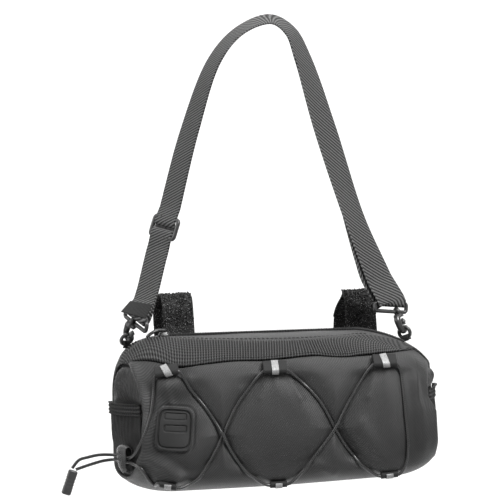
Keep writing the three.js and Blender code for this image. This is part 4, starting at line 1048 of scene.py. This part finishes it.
def lacing_path():
    """The elastic cord from the tunnel, round the lower left corner, along every run and through every
    tab, and back. Where runs cross, one rises over the other by a bell."""
    parts = [[in_tunnel(-1, CORD_GAP), in_tunnel(-TUNNEL_HALF + 1, CORD_GAP)], UPPER_TURN]
    for i, (run, line) in enumerate(zip(RUNS, RUN_LINES)):
        points = line[3:-3:2] if i else line[:-3:2]
        away = np.min([np.hypot(*(points - cross).T) for cross in (CROSS_LEFT, CROSS_RIGHT)], axis=0)
        rise = run["over"] * (2 * CORD_RADIUS + 0.5) * bell(away, 8)
        parts.append(over_front(points[:, 0], points[:, 1], 0.95 * CORD_RADIUS + rise))
        row = TABS[run["to"]]
        parts.append([np.array(row["cord"]) + dx * run["way"] * unit(vec(*row["across"]))
                      for dx in (-TAB_SIDE, 0, TAB_SIDE)])
    parts += [over_front(*LOWER_TURN.T, CORD_RADIUS),
              [in_tunnel(-TUNNEL_HALF + 1, -CORD_GAP), in_tunnel(-1, -CORD_GAP)]]
    return resample(spline(np.concatenate([np.asarray(part, float) for part in parts]), 12), 1.1)


tube("bungee_lacing", lacing_path(), CORD_RADIUS, ELASTIC, 14)

# Free ends of the cord
TAILS = {
    "upper": {"rise": 1, "clip": (-165.27, 13.40, -37.13),
              "way": [(-131, 5, -28.2), (-143.8, 9, -27.6), (-153.2, 11, -29.2), (-159.7, 12.5, -31)]},
    "lower": {"rise": -1, "clip": (-162.65, 10.60, -38.12),
              "way": [(-131, 4.5, -31.6), (-140, 8, -32.2), (-148, 9.5, -34), (-155.5, 10.3, -36)]},
}
CLIP = {"at": vec(-167.9, 12, -48), "tilt": 20.8, "halfWidth": 3.8, "halfHeight": 10, "half": 2.75}


def cord_end_clip():
    """The clip: rounded boxes along its length, narrower at both ends, with three grip waists."""
    tilt = math.radians(CLIP["tilt"])
    wide, high = vec(math.cos(tilt), 0, -math.sin(tilt)), vec(math.sin(tilt), 0, math.cos(tilt))
    k = np.linspace(-1, 1, 41)
    end = np.sqrt(np.clip(1 - np.clip((np.abs(k) - 0.86) / 0.14, 0, 1) ** 2, 0, 1)) * 0.35 + 0.65
    waist = 1 - 0.07 * sum(bell(k - at, 0.06) for at in (0.25, 0, -0.25))
    a, b = rounded_box(28, 0.55, CLIP["halfWidth"], CLIP["half"])
    box = a[:, None] * wide + b[:, None] * vec(0, 1, 0)
    rings = CLIP["at"] + (k * CLIP["halfHeight"])[:, None, None] * high + (end * waist)[:, None, None] * box
    return loft("cord_end_clip", rings, np.linspace(0, 0.02, 41), np.linspace(0, 0.02, 29), PLASTIC)


def free_cord(side, row):
    """A free end of the cord from the tunnel to the clip, as one open spline with a round section."""
    name, rise = "bungee_tail_" + side, row["rise"] * CORD_GAP
    leaves = in_tunnel(TUNNEL_HALF - 1, rise)
    points = [in_tunnel(-0.6, rise), leaves, *row["way"], row["clip"]]
    path = (resample(spline(points, 12), 2.2) + HANG) / 1000
    data = bpy.data.curves.new(name + ".cord", "CURVE")
    data.dimensions = "3D"
    data.bevel_depth = CORD_RADIUS / 1000
    data.bevel_resolution = 4
    data.use_fill_caps = True
    line = data.splines.new("POLY")
    line.points.add(len(path) - 1)
    line.points.foreach_set("co", np.concatenate([path, np.ones((len(path), 1))], axis=1).ravel())
    data.materials.append(ELASTIC)
    made = settle(bpy.data.objects.new(name + ".cord", data), name)


clip = cord_end_clip()
for side, row in TAILS.items():
    free_cord(side, row)

# Cord tunnel: webbing folded over the two cord ends
TUNNEL_HALF_THICK, TUNNEL_ROOM, TUNNEL_TOP, TUNNEL_SINK = 0.45, 1.1, 10, -1.8


def cord_tunnel():
    """The tunnel: a ply behind the cords, half a circle over them and a ply in front that narrows
    downwards, sunk in the middle."""
    ply = CORD_RADIUS + TUNNEL_ROOM + TUNNEL_HALF_THICK
    behind = [in_tunnel(0, rise, -ply) for rise in (-9, -4, 3)]
    fold = [in_tunnel(0, TUNNEL_TOP - ply + ply * math.sin(a), ply * math.cos(a))
            for a in np.radians(np.linspace(180, 0, 13))]
    front = [in_tunnel(-0.6, -2, ply), in_tunnel(-1.6, -6, ply - 0.4), in_tunnel(-2.6, -9, ply - 2)]
    line = resample(spline([*behind, *fold, *front], 6), 0.6)
    width = 8.4 - 3.4 * smooth(-line[:, 2], 28, 41)
    return ribbon("cord_tunnel", line, TUNNEL_ALONG, width, TUNNEL_HALF_THICK, SATIN, TUNNEL_SINK)


cord_tunnel()


# Patch
def front_patch():
    """A rounded patch: superellipse rings that rest on the front, with a raised rim, a groove inside it
    and two plain slots."""
    share = np.concatenate([np.linspace(1, 0.8, 18), np.linspace(0.79, 0.02, 64)])[:, None]
    angle = (2 * np.pi * (np.arange(192) + 0.5) / 192)[None]
    c, d = np.cos(angle), np.sin(angle)
    grow = (np.abs(c) ** 5 + np.abs(d) ** 5) ** (-1 / 5)
    a, b = share * grow * c * PATCH["halfWidth"], share * grow * d * PATCH["halfHeight"]
    turn = math.radians(PATCH["turn"])
    x = PATCH["x"] + a * math.cos(turn) + b * math.sin(turn)
    z = PATCH["z"] - a * math.sin(turn) + b * math.cos(turn)
    rim = smooth(share, 0.88, 0.92) * smooth(-share, -1.0, -0.97)
    groove = bell(share - 0.85, 0.032) + 0 * angle
    for slot_a, slot_b in PATCH_SLOT["middles"]:
        off = off_block(a - slot_a, b - slot_b, PATCH_SLOT["halfWidth"], PATCH_SLOT["halfHeight"],
                        PATCH_SLOT["corner"])
        groove = groove + PATCH_SLOT["deep"] * smooth(-off, -0.2, 0.35) + 0.5 * bell(off + 0.2, 0.45)
    base = over_front(x, z, 0.5, 0.0)
    edge = smooth(-share, -1.0, -0.96)
    height = PATCH["thick"] * (0.35 + 0.65 * edge) + PATCH["rim"] * rim - groove
    top = base + body_normal(*front_place(x, z)) * height[..., None]
    return shell("front_patch", top, base, share[:, 0] * 0.016, np.linspace(0, 0.09, 193), PATCH_FINISH, True)


front_patch()

# Zip: coil, slider and puller
ZIP_SLIDER = {"at": vec(-89, 2.5, 63.0), "halfLength": 4.5, "halfWidth": 3.4, "height": 3}
PULLER_FROM, PULLER_RADIUS = vec(-1, 0, ZIP_SLIDER["height"] + 1.3), 1.2
PULLER = [(2, 1.2, 0), (-5, -1.5, 0.2), (-10, -2.5, -2), (-12.5, -5, -4), (-10, -6.5, -2), (-5, -5.5, 0.2),
          (2, -1.6, 0)]
COIL = {"radius": 1.35, "swell": 0.3, "tooth": 1.3}


def zip_puller():
    """The puller: a loop of cord through its points from the slider's bridge."""
    points = ZIP_SLIDER["at"] + PULLER_FROM + np.array(PULLER)
    return tube("zip_puller", resample(spline(points, 12), 0.8), PULLER_RADIUS, ELASTIC, 12)


def zip_coil():
    """The zip's closed coil: a cord along the tape whose radius swells at each tooth."""
    s = np.linspace(-0.72, 0.82, 900)
    t = np.full_like(s, (KNOT["zipBack"] + KNOT["zipFront"]) / 2)
    path = body_base(s, t) + body_normal(s, t) * 0.2
    radius = COIL["radius"] + COIL["swell"] * np.cos(2 * np.pi * lengths(path) / COIL["tooth"])
    return tube("zip_coil", path, radius, TAPE, 10, new=True)


def zip_slider():
    """The slider: rounded boxes that narrow to the top."""
    k = np.linspace(0, 1, 16)
    a, b = rounded_box(32, 0.6, ZIP_SLIDER["halfLength"], ZIP_SLIDER["halfWidth"])
    size = (1 - 0.25 * smooth(k, 0.3, 1) - 0.06 * bell(k - 0.4, 0.12))[:, None]
    box = np.stack(np.broadcast_arrays(size * a, size * b, k[:, None] * ZIP_SLIDER["height"]), axis=-1)
    return loft("zip_slider", ZIP_SLIDER["at"] + box, k * 0.003, np.linspace(0, 0.02, 33), PLASTIC)


zip_puller()
zip_coil()
zip_slider()

# Bar straps: the part behind stands off sideways by its skew, more at its lower end by its slant
BAR_STRAPS = {"left": {"drop": 0, "skew": -5.0, "slant": 0},
              "right": {"drop": 4.5, "skew": 2.5, "slant": -7.5}}
BAR_HALF_WIDTH, BAR_HALF_THICK, LOOP_COUNT = 12.5, 0.9, 420
PILE_PATH = [(45.2, 30), (45.2, 45), (45.2, 58), (46.4, 72), (48.5, 83), (54, 90.5), (61, 93.3), (69, 93.3),
             (76.5, 90.5), (82, 83), (83.6, 75), (84, 69)]
TONGUE_PATH = [(45.2, 8), (45.2, 18), (46.5, 25), (51, 30), (60, 33), (70, 35.5), (77.5, 41), (80.8, 50),
               (81.3, 62), (81, 75), (79.5, 82)]


def bar_line(side, rows):
    """Middle line of a strap over the bar, lowered towards the top by its drop and set over behind."""
    at = BAR_STRAPS[side]
    y, z = np.array(rows, float).T
    behind = smooth(y, 56, 78)
    x = BAR_X[side] + behind * (at["skew"] + at["slant"] * smooth(-z, -92, -68))
    z = z - at["drop"] * smooth(z, 45, 80)
    return resample(spline(np.stack([x, y, z], axis=1), 10), 0.9)


def bar_strap(name, side, rows):
    """A strap over the bar: its section carried along the loop."""
    return ribbon(name, bar_line(side, rows), vec(1, 0, 0), BAR_HALF_WIDTH, BAR_HALF_THICK, PILE)


def beads(name, places, axes, size, profile, finish):
    """Small six-sided shapes at places along axes: rings of a radius at each step of the profile."""
    side = unit(np.cross(axes, vec(0.3, 0.2, 0.93)))
    other = np.cross(axes, side)
    angle = np.arange(6) * np.pi / 3
    around = np.cos(angle)[None, :, None] * side[:, None] + np.sin(angle)[None, :, None] * other[:, None]
    size = np.broadcast_to(size, (len(places),))[:, None, None]
    rings = np.stack([places[:, None] + size * (radius * around + step * axes[:, None])
                      for step, radius in profile], axis=1)
    count, each = len(places), 6 * len(profile)
    quads, _ = grid_quads(len(profile), 6, True)
    every = (quads[None] + np.arange(count)[:, None, None] * each).reshape(-1, 4)[:, ::-1]
    first = np.arange(count)[:, None] * each
    caps = [*(first + np.arange(each - 6, each)), *(first + np.arange(5, -1, -1))]
    return piece(name, rings.reshape(-1, 3), every, np.zeros((len(every), 4, 2)), finish, caps=caps, new=True)


def pile_loops(side):
    """Loops of the pile that stand out along the fold over the bar, in scattered rows of blunt points."""
    line = bar_line(side, PILE_PATH)
    fold = np.where((line[:, 1] > 46) & (line[:, 1] < 84))[0]
    pick = np.random.default_rng(4)
    row = pick.choice(fold, LOOP_COUNT)
    shift = pick.uniform(-12, 12, LOOP_COUNT)
    out = np.cross(tangents(line)[row], vec(1, 0, 0))
    out = out * np.where(out[:, 2] < 0, -1, 1)[:, None]
    place = line[row] + shift[:, None] * vec(1, 0, 0) + out * BAR_HALF_THICK
    lean = unit(out + pick.normal(0, 0.35, out.shape))
    return beads("pile_loops_" + side, place, lean, pick.uniform(0.7, 1.5, LOOP_COUNT),
                 ((-0.4, 0.5), (0.5, 0.55), (1.0, 0.2)), PILE)


def stitches(name, path, length=2.2, gap=1.2, thick=0.3):
    """A row of stitches along a path: a short six-sided bead for each, thinner at both ends."""
    along = lengths(path)
    at = np.arange(length, along[-1] - length, length + gap)
    place = at_distance(at, along, path)
    ahead = at_distance(at + 0.5, along, path)
    profile = ((-length / 2, thick / 2), (-length / 3, thick), (length / 3, thick), (length / 2, thick / 2))
    return beads(name, place, unit(ahead - place), 1.0, profile, THREAD)


for side in BAR_STRAPS:
    bar_strap("bar_strap_" + side, side, PILE_PATH)
    bar_strap("bar_tongue_" + side, side, TONGUE_PATH)
    pile_loops(side)


def seam_line(edge, shift, start, stop, lift):
    """A line on the body beside an edge that changes along the length."""
    s = np.linspace(start, stop, 300)
    t = edge(s) + shift
    return body_base(s, t) + body_normal(s, t) * lift


stitches("flap_stitches", seam_line(band_top, -0.16, -0.66, 0.7, 0.2))
stitches("band_stitches", seam_line(band_edge, -0.1, -0.95, 0.72, 1.5), 1.8, 1.0, 0.25)

# Hooks and rings, each with its own directions
FITTINGS = {
    "left": {"bar": vec(-109.3, 4.5, 79.6), "loopX": vec(0.50, -0.74, -0.45),
             "loopZ": vec(0.2787, -0.5014, 0.8191), "eye": vec(-112.45, 8.01, 75.87),
             "hookX": vec(0.3089, -0.7608, -0.5708), "hookZ": vec(0.2787, -0.5014, 0.8191), "twist": -35},
    "right": {"bar": vec(94.3, 12, 79.5), "loopX": vec(0.9428, 0.3153, -0.1081),
              "loopZ": vec(0.1025, 0.0343, 0.9941), "eye": vec(99.24, 13.65, 71.89),
              "hookX": vec(0.5474, 0.8190, 0.1721), "hookZ": vec(-0.3, 0, 0.9539), "twist": 35},
}
FRAME = {"halfSlot": 13, "slot": 5, "wire": 2, "side": 2.2, "corner": 2.0}
HOOK = {"inner": 3.2, "wire": 2.6, "thin": 1.6, "bowZ": -11.4, "bow": 2.35, "bowSwell": 0.35, "eye": 2.5}
COLLAR = {"from": (0, 0, -1.9), "to": (0, 0, -4.6), "radius": 4.0, "wave": 0.3}
SHOULDER = [(1.0, 0, -3.3), (3.2, 0, -3.4), (4.7, 0, -3.7)]
GATE = {"from": (4.5, 0, -6.4), "to": (4.5, 0, -11.7), "end": 0.7, "rod": 0.75, "swell": 0.8}
RING = {"radius": 4.7, "wire": 1.45, "lift": 1.7, "fold": 2.5, "ply": 1.9, "tabHalf": 2.6,
        "tabHalfThick": 0.5}


def local(origin, along_x, along_z, points):
    """Points given by a fitting's own X, Y and Z directions."""
    x = unit(along_x)
    z = unit(along_z - x * (x @ along_z))
    return origin + np.asarray(points, float) @ np.stack([x, np.cross(z, x), z])


def at_hook(fit, points):
    """Points of a hook by its own directions."""
    return local(fit["eye"], fit["hookX"], fit["hookZ"], points)


def loop_line(half_x, low, high, corner, count=96):
    """A rounded rectangle in a fitting's own X and Z."""
    corners = []
    for cx, cz, start in ((half_x, high, 0), (-half_x, high, 90), (-half_x, low, 180), (half_x, low, 270)):
        a = np.radians(np.linspace(start, start + 90, 7))
        corners.append(np.stack([cx - np.sign(cx) * corner + corner * np.cos(a), 0 * a,
                                 cz - (corner if cz == high else -corner) + corner * np.sin(a)], axis=1))
    line = np.concatenate([*corners, corners[0][:1]])
    along = lengths(line)
    return at_distance(np.linspace(0, along[-1], count, endpoint=False), along, line)


def hook_line():
    """The hook's bow: down one side, round the bottom and up to the gate's stop."""
    middle = HOOK["inner"] + HOOK["wire"] / 2
    angle = np.radians(np.linspace(180, 340, 15))
    side = [(0.6, 0, -3.1), (-2.6, 0, -3.6), (-middle, 0, -6.2), (-middle, 0, -9)]
    bow = np.stack([middle * np.cos(angle), 0 * angle, HOOK["bowZ"] + middle * np.sin(angle)], axis=1)
    return resample(spline(np.concatenate([side, bow]), 8), 0.45)


def circle(radius):
    """A circle of points in a fitting's own Y and Z."""
    angle = np.linspace(0, 2 * np.pi, 40, endpoint=False)
    return np.stack([0 * angle, radius * np.cos(angle), radius * np.sin(angle)], axis=1)


def snap_hook(side, fit):
    """A hook: the loop for the webbing, the bow with its eye, collar and shoulder, and the gate, a rod
    with a thicker middle on its own body."""
    outline = loop_line(FRAME["halfSlot"] + FRAME["side"] / 2, -FRAME["slot"] - FRAME["wire"], 0,
                        FRAME["corner"])
    outline = local(fit["bar"], fit["loopX"], fit["loopZ"], outline)
    tube("hook_loop_" + side, outline, HOOK["thin"], PLASTIC, 14, True)
    bow = hook_line()
    thick = HOOK["bow"] + HOOK["bowSwell"] * bell(np.linspace(0, 1, len(bow)) - 0.3, 0.2)
    tube("hook_body_" + side, at_hook(fit, bow), thick, PLASTIC, 14)
    c, d = math.cos(math.radians(fit["twist"])), math.sin(math.radians(fit["twist"]))
    eye = circle(HOOK["eye"]) @ np.array([[c, -d, 0], [d, c, 0], [0, 0, 1]])
    tube("hook_eye_" + side, at_hook(fit, eye), HOOK["thin"], PLASTIC, 12, True, new=True)
    collar = np.linspace(COLLAR["from"], COLLAR["to"], 12)
    waves = COLLAR["radius"] + COLLAR["wave"] * np.cos(np.linspace(0, 4 * np.pi, 12))
    tube("hook_collar_" + side, at_hook(fit, collar), waves, PLASTIC, 16, new=True)
    shoulder = at_hook(fit, resample(spline(SHOULDER, 8), 0.4))
    tube("hook_shoulder_" + side, shoulder, HOOK["thin"], PLASTIC, 12, new=True)
    gate = np.linspace(GATE["from"], GATE["to"], 24)
    reach = np.linspace(0, 1, 24)
    swell = GATE["end"] + GATE["rod"] * smooth(reach, 0, 0.25) + GATE["swell"] * bell(reach - 0.5, 0.2)
    # The gate's finish carries a painted highlight: a lighter grey than the hook's plastic.
    tube("hook_gate_" + side, at_hook(fit, gate), swell, GATE_FINISH_PAINTED_HIGHLIGHT, 14, body="gate_" + side)


def sewn_ring(side, fit):
    """The ring in a hook's bow, and the tab that folds round the ring's lowest point."""
    top = HOOK["bowZ"] - HOOK["inner"] + RING["lift"]
    ring = circle(RING["radius"]) + (top - RING["radius"]) * UP
    tube("ring_" + side, at_hook(fit, ring), RING["wire"], PLASTIC, 12, True)
    low, fold = top - 2 * RING["radius"], RING["fold"]
    a = np.radians(np.linspace(180, 0, 11))
    tab = np.concatenate([[(-fold, 0, low - RING["ply"])],
                          np.stack([fold * np.cos(a), 0 * a, low + fold * np.sin(a)], axis=1),
                          [(fold, 0, low - RING["ply"])]])
    wide = local(0 * UP, fit["hookX"], fit["hookZ"], vec(0, 1, 0))
    ribbon("ring_tab_" + side, resample(spline(at_hook(fit, tab), 6), 0.4), wide, RING["tabHalf"],
           RING["tabHalfThick"], TAPE)


for side, fit in FITTINGS.items():
    snap_hook(side, fit)
    sewn_ring(side, fit)

# Shoulder strap: X, depth, turn and Z of its middle, from above the left hook to above the right one
STRAP_HALF, STRAP_WIDTH, TURN_RADIUS = 0.75, 12.5, 2.65
STRAP_LINE = [(-102.4, 8, 52, 91.7), (-99.4, 9.5, 52, 99.5), (-94.7, 11, 52, 115), (-89.9, 12, 52, 130.6),
              (-82, 12, 54, 152), (-60.5, 12, 60, 222), (-37, 12, 70, 279), (-16, 12, 72, 301),
              (9, 12, 67, 309), (24, 12, 60, 299), (33, 12, 50, 277), (48.2, 12, 37, 220),
              (68.5, 12, 41, 147), (86, 12, 28, 98.5)]
SLIDER_AT = vec(-83.3, 12, 148.2)
# The strap's way through the slider: distance along it and out of its plane
WAVE = [(-16, 0), (-10, 0.9), (-6, 1.5), (-2.6, 1.1), (-1.5, -0.4), (-0.9, -1.6), (0, -2.1), (0.9, -1.6),
        (1.5, -0.4), (2.6, 1.1), (6, 1.5), (10, 0.9), (16, 0)]
# The ply behind the left limb: its way back and across. The ply behind the right limb: distance from the
# bar, way back and way across
LEFT_PLY = 1.7
RIGHT_PLY = np.array([(5, 3.0, 2.6), (20, 2.3, 2.2), (38, 1.9, 0.4), (56, 1.7, -1.8)])
SLEEVE_SHARE, SLEEVE_HALF = 0.8, 0.45
SLIDER = {"halfWidth": STRAP_WIDTH + 1.9, "half": 7.8, "corner": 2.6, "wire": 1.7, "bar": 0.6,
          "lift": 0.4, "barBehind": 0.9}


def strap_arch():
    """Middle, width, face and running directions of the strap. The face looks to the front at a turn of 0
    and away from the arch at 90. At the slider it waves over the outer bars and under the middle one."""
    line = spline(STRAP_LINE, 30)
    along_line = lengths(line[:, [0, 1, 3]])
    at = np.linspace(0, along_line[-1], 1000)
    x, y, turn, z = at_distance(at, along_line, line).T
    middle = np.stack([x, y, z], axis=1)
    along = tangents(middle)
    away = unit(np.stack([-along[:, 2], 0 * x, along[:, 0]], axis=1))
    turn = np.radians(turn)[:, None]
    face = unit(-np.cos(turn) * vec(0, 1, 0) + np.sin(turn) * away)
    here = np.argmin(np.linalg.norm(middle - SLIDER_AT, axis=1))
    wave = spline(WAVE, 8)
    out = np.interp(at - at[here], wave[:, 0], wave[:, 1])
    return {"middle": middle + out[:, None] * face, "across": unit(np.cross(along, face)), "face": face,
            "along": along, "at": at, "slider": here, "sliderAt": middle[here]}


ARCH = strap_arch()


def strap_turn(side, end):
    """The strap's turn round a hook's bar from an end of the arch: half a circle square to the bar, from
    the front ply to the ply behind it."""
    bar, across = FITTINGS[side]["bar"], unit(FITTINGS[side]["loopX"])
    across = -across if across @ ARCH["across"][end] < 0 else across
    up = ARCH["middle"][end] - bar
    up = unit(up - across * (up @ across))
    face = unit(np.cross(up, across))
    face = -face if face @ ARCH["face"][end] < 0 else face
    angle = np.radians(np.linspace(0, -180, 13))[:, None]
    points = bar + TURN_RADIUS * (np.cos(angle) * face + np.sin(angle) * up)
    return points, np.broadcast_to(across, points.shape), face, up


def shoulder_strap():
    """The strap from the ply behind the slider, round the left bar, up through the slider, over the arch,
    round the right bar and up behind the front ply. Its weave leans the other way past the top."""
    middle, across, face, at = (ARCH[key] for key in ("middle", "across", "face", "at"))
    left, left_across, *_ = strap_turn("left", 0)
    right, right_across, *_ = strap_turn("right", -1)
    rear = np.searchsorted(at, np.linspace(at[ARCH["slider"]] - 4, 6, 8))
    rear_points = middle[rear] - LEFT_PLY * (face[rear] + across[rear])
    last = np.searchsorted(at, at[-1] - RIGHT_PLY[:, 0])
    behind = middle[last] - face[last] * RIGHT_PLY[:, 1:2] + across[last] * RIGHT_PLY[:, 2:]
    points = np.concatenate([rear_points, left[::-1], middle, right, behind])
    widths = np.concatenate([across[rear], left_across, across, right_across, across[last]])
    fine = resample(spline(np.concatenate([points, widths], axis=1), 5), 0.7)
    weave = np.tanh((np.argmax(fine[:, 2]) - np.arange(len(fine))) / 30)
    weave, pace = np.where(weave < 0, 1.5 * weave, weave), 0.86 + 0.14 * weave
    return ribbon("shoulder_strap", fine[:, :3], fine[:, 3:], STRAP_WIDTH, STRAP_HALF, WEBBING, weave=weave,
                  pace=pace)


def strap_sleeve():
    """The sewn end over the front ply above the left hook: a short second ply."""
    left, left_across, left_face, left_up = strap_turn("left", 0)
    k = SLEEVE_SHARE * np.linspace(0, 1, 6)[:, None]
    rise = mix(left[0] - left_up * 1.5, ARCH["middle"][0], k)
    line = rise + unit(mix(left_face, ARCH["face"][0], k)) * (STRAP_HALF + 0.5)
    path = resample(spline(line, 6), 0.8)
    along = lengths(line)
    wide = at_distance(np.linspace(0, along[-1], len(path)), along, mix(left_across[0], ARCH["across"][0], k))
    return ribbon("strap_sleeve", path, wide, STRAP_WIDTH + 0.2, SLEEVE_HALF, SLEEVE, new=True)


def strap_slider():
    """The slider: a rounded frame and a thinner middle bar behind it, both of round wire."""
    face, across, along = (ARCH[key][ARCH["slider"]] for key in ("face", "across", "along"))
    middle, half = ARCH["sliderAt"] + face * SLIDER["lift"], SLIDER["halfWidth"]
    outline = loop_line(half, -SLIDER["half"], SLIDER["half"], SLIDER["corner"], 120)
    tube("strap_slider", local(middle, across, along, outline), SLIDER["wire"], PLASTIC, 14, True)
    bar = np.linspace((-half, 0, 0), (half, 0, 0), 40)
    bar = local(middle - face * SLIDER["barBehind"], across, along, bar)
    tube("strap_slider_bar", bar, SLIDER["bar"], PLASTIC, 14, new=True)


shoulder_strap()
strap_sleeve()
strap_slider()

# Stage, in metres
STUDIO = {"floor": -1.7, "front": -4, "bag": 0.5, "back": 4.2, "top": 6, "half": 9.0, "bend": 1.6,
          "sky": 0.36}
LAMPS = {
    "key": {"at": vec(0.75, -1.45, 1.25), "aim": vec(0, 0, -0.25), "size": 1.3, "power": 13, "spread": 60},
    "fill": {"at": vec(-1.8, -0.5, 0.3), "aim": vec(0, 0, -0.25), "size": 1.2, "power": 18, "spread": 180},
    "wall": {"at": vec(0, 1.3, 2.6), "aim": vec(0, 4.2, 0), "size": 4.0, "power": 190, "spread": 180},
}


def studio_floor():
    """A pale floor and back wall in one sheet, with a quarter-round between them."""
    floor, back, radius = STUDIO["floor"], STUDIO["back"], STUDIO["bend"]
    bend = np.linspace(0, np.pi / 2, 16)
    y = np.concatenate([[STUDIO["front"], STUDIO["bag"]], back - radius + radius * np.sin(bend), [back]])
    z = np.concatenate([[floor, floor], floor + radius - radius * np.cos(bend), [STUDIO["top"]]])
    points = [(x, a, b) for a, b in zip(y, z) for x in (-STUDIO["half"], STUDIO["half"])]
    faces = [(2 * i, 2 * i + 1, 2 * i + 3, 2 * i + 2) for i in range(len(y) - 1)]
    mesh = bpy.data.meshes.new("studio_floor")
    mesh.from_pydata(points, [], faces)
    mesh.polygons.foreach_set("use_smooth", np.ones(len(faces), bool))
    pale, _, shader = blank("pale_floor", 0.9)
    shader.inputs["Base Color"].default_value = (0.95, 0.95, 0.95, 1)
    mesh.materials.append(pale)
    sheet = bpy.data.objects.new("studio_floor", mesh)
    SCENE.collection.objects.link(sheet)


def studio_light():
    """An even white sky, and soft lamps that face their aims."""
    SCENE.world = bpy.data.worlds.new("studio_light")
    SCENE.world.use_nodes = True
    sky = SCENE.world.node_tree.nodes["Background"]
    sky.inputs["Color"].default_value = (1, 1, 1, 1)
    sky.inputs["Strength"].default_value = STUDIO["sky"]
    for name, lamp in LAMPS.items():
        light = bpy.data.lights.new(name, "AREA")
        light.size = lamp["size"]
        light.energy = lamp["power"]
        light.spread = math.radians(lamp["spread"])
        back = unit(lamp["at"] - lamp["aim"])
        side = unit(np.cross(UP, back))
        set_up(name, light, side, np.cross(back, side), back, lamp["at"])


studio_floor()
studio_light()
SCENE.view_settings.view_transform = "Standard"
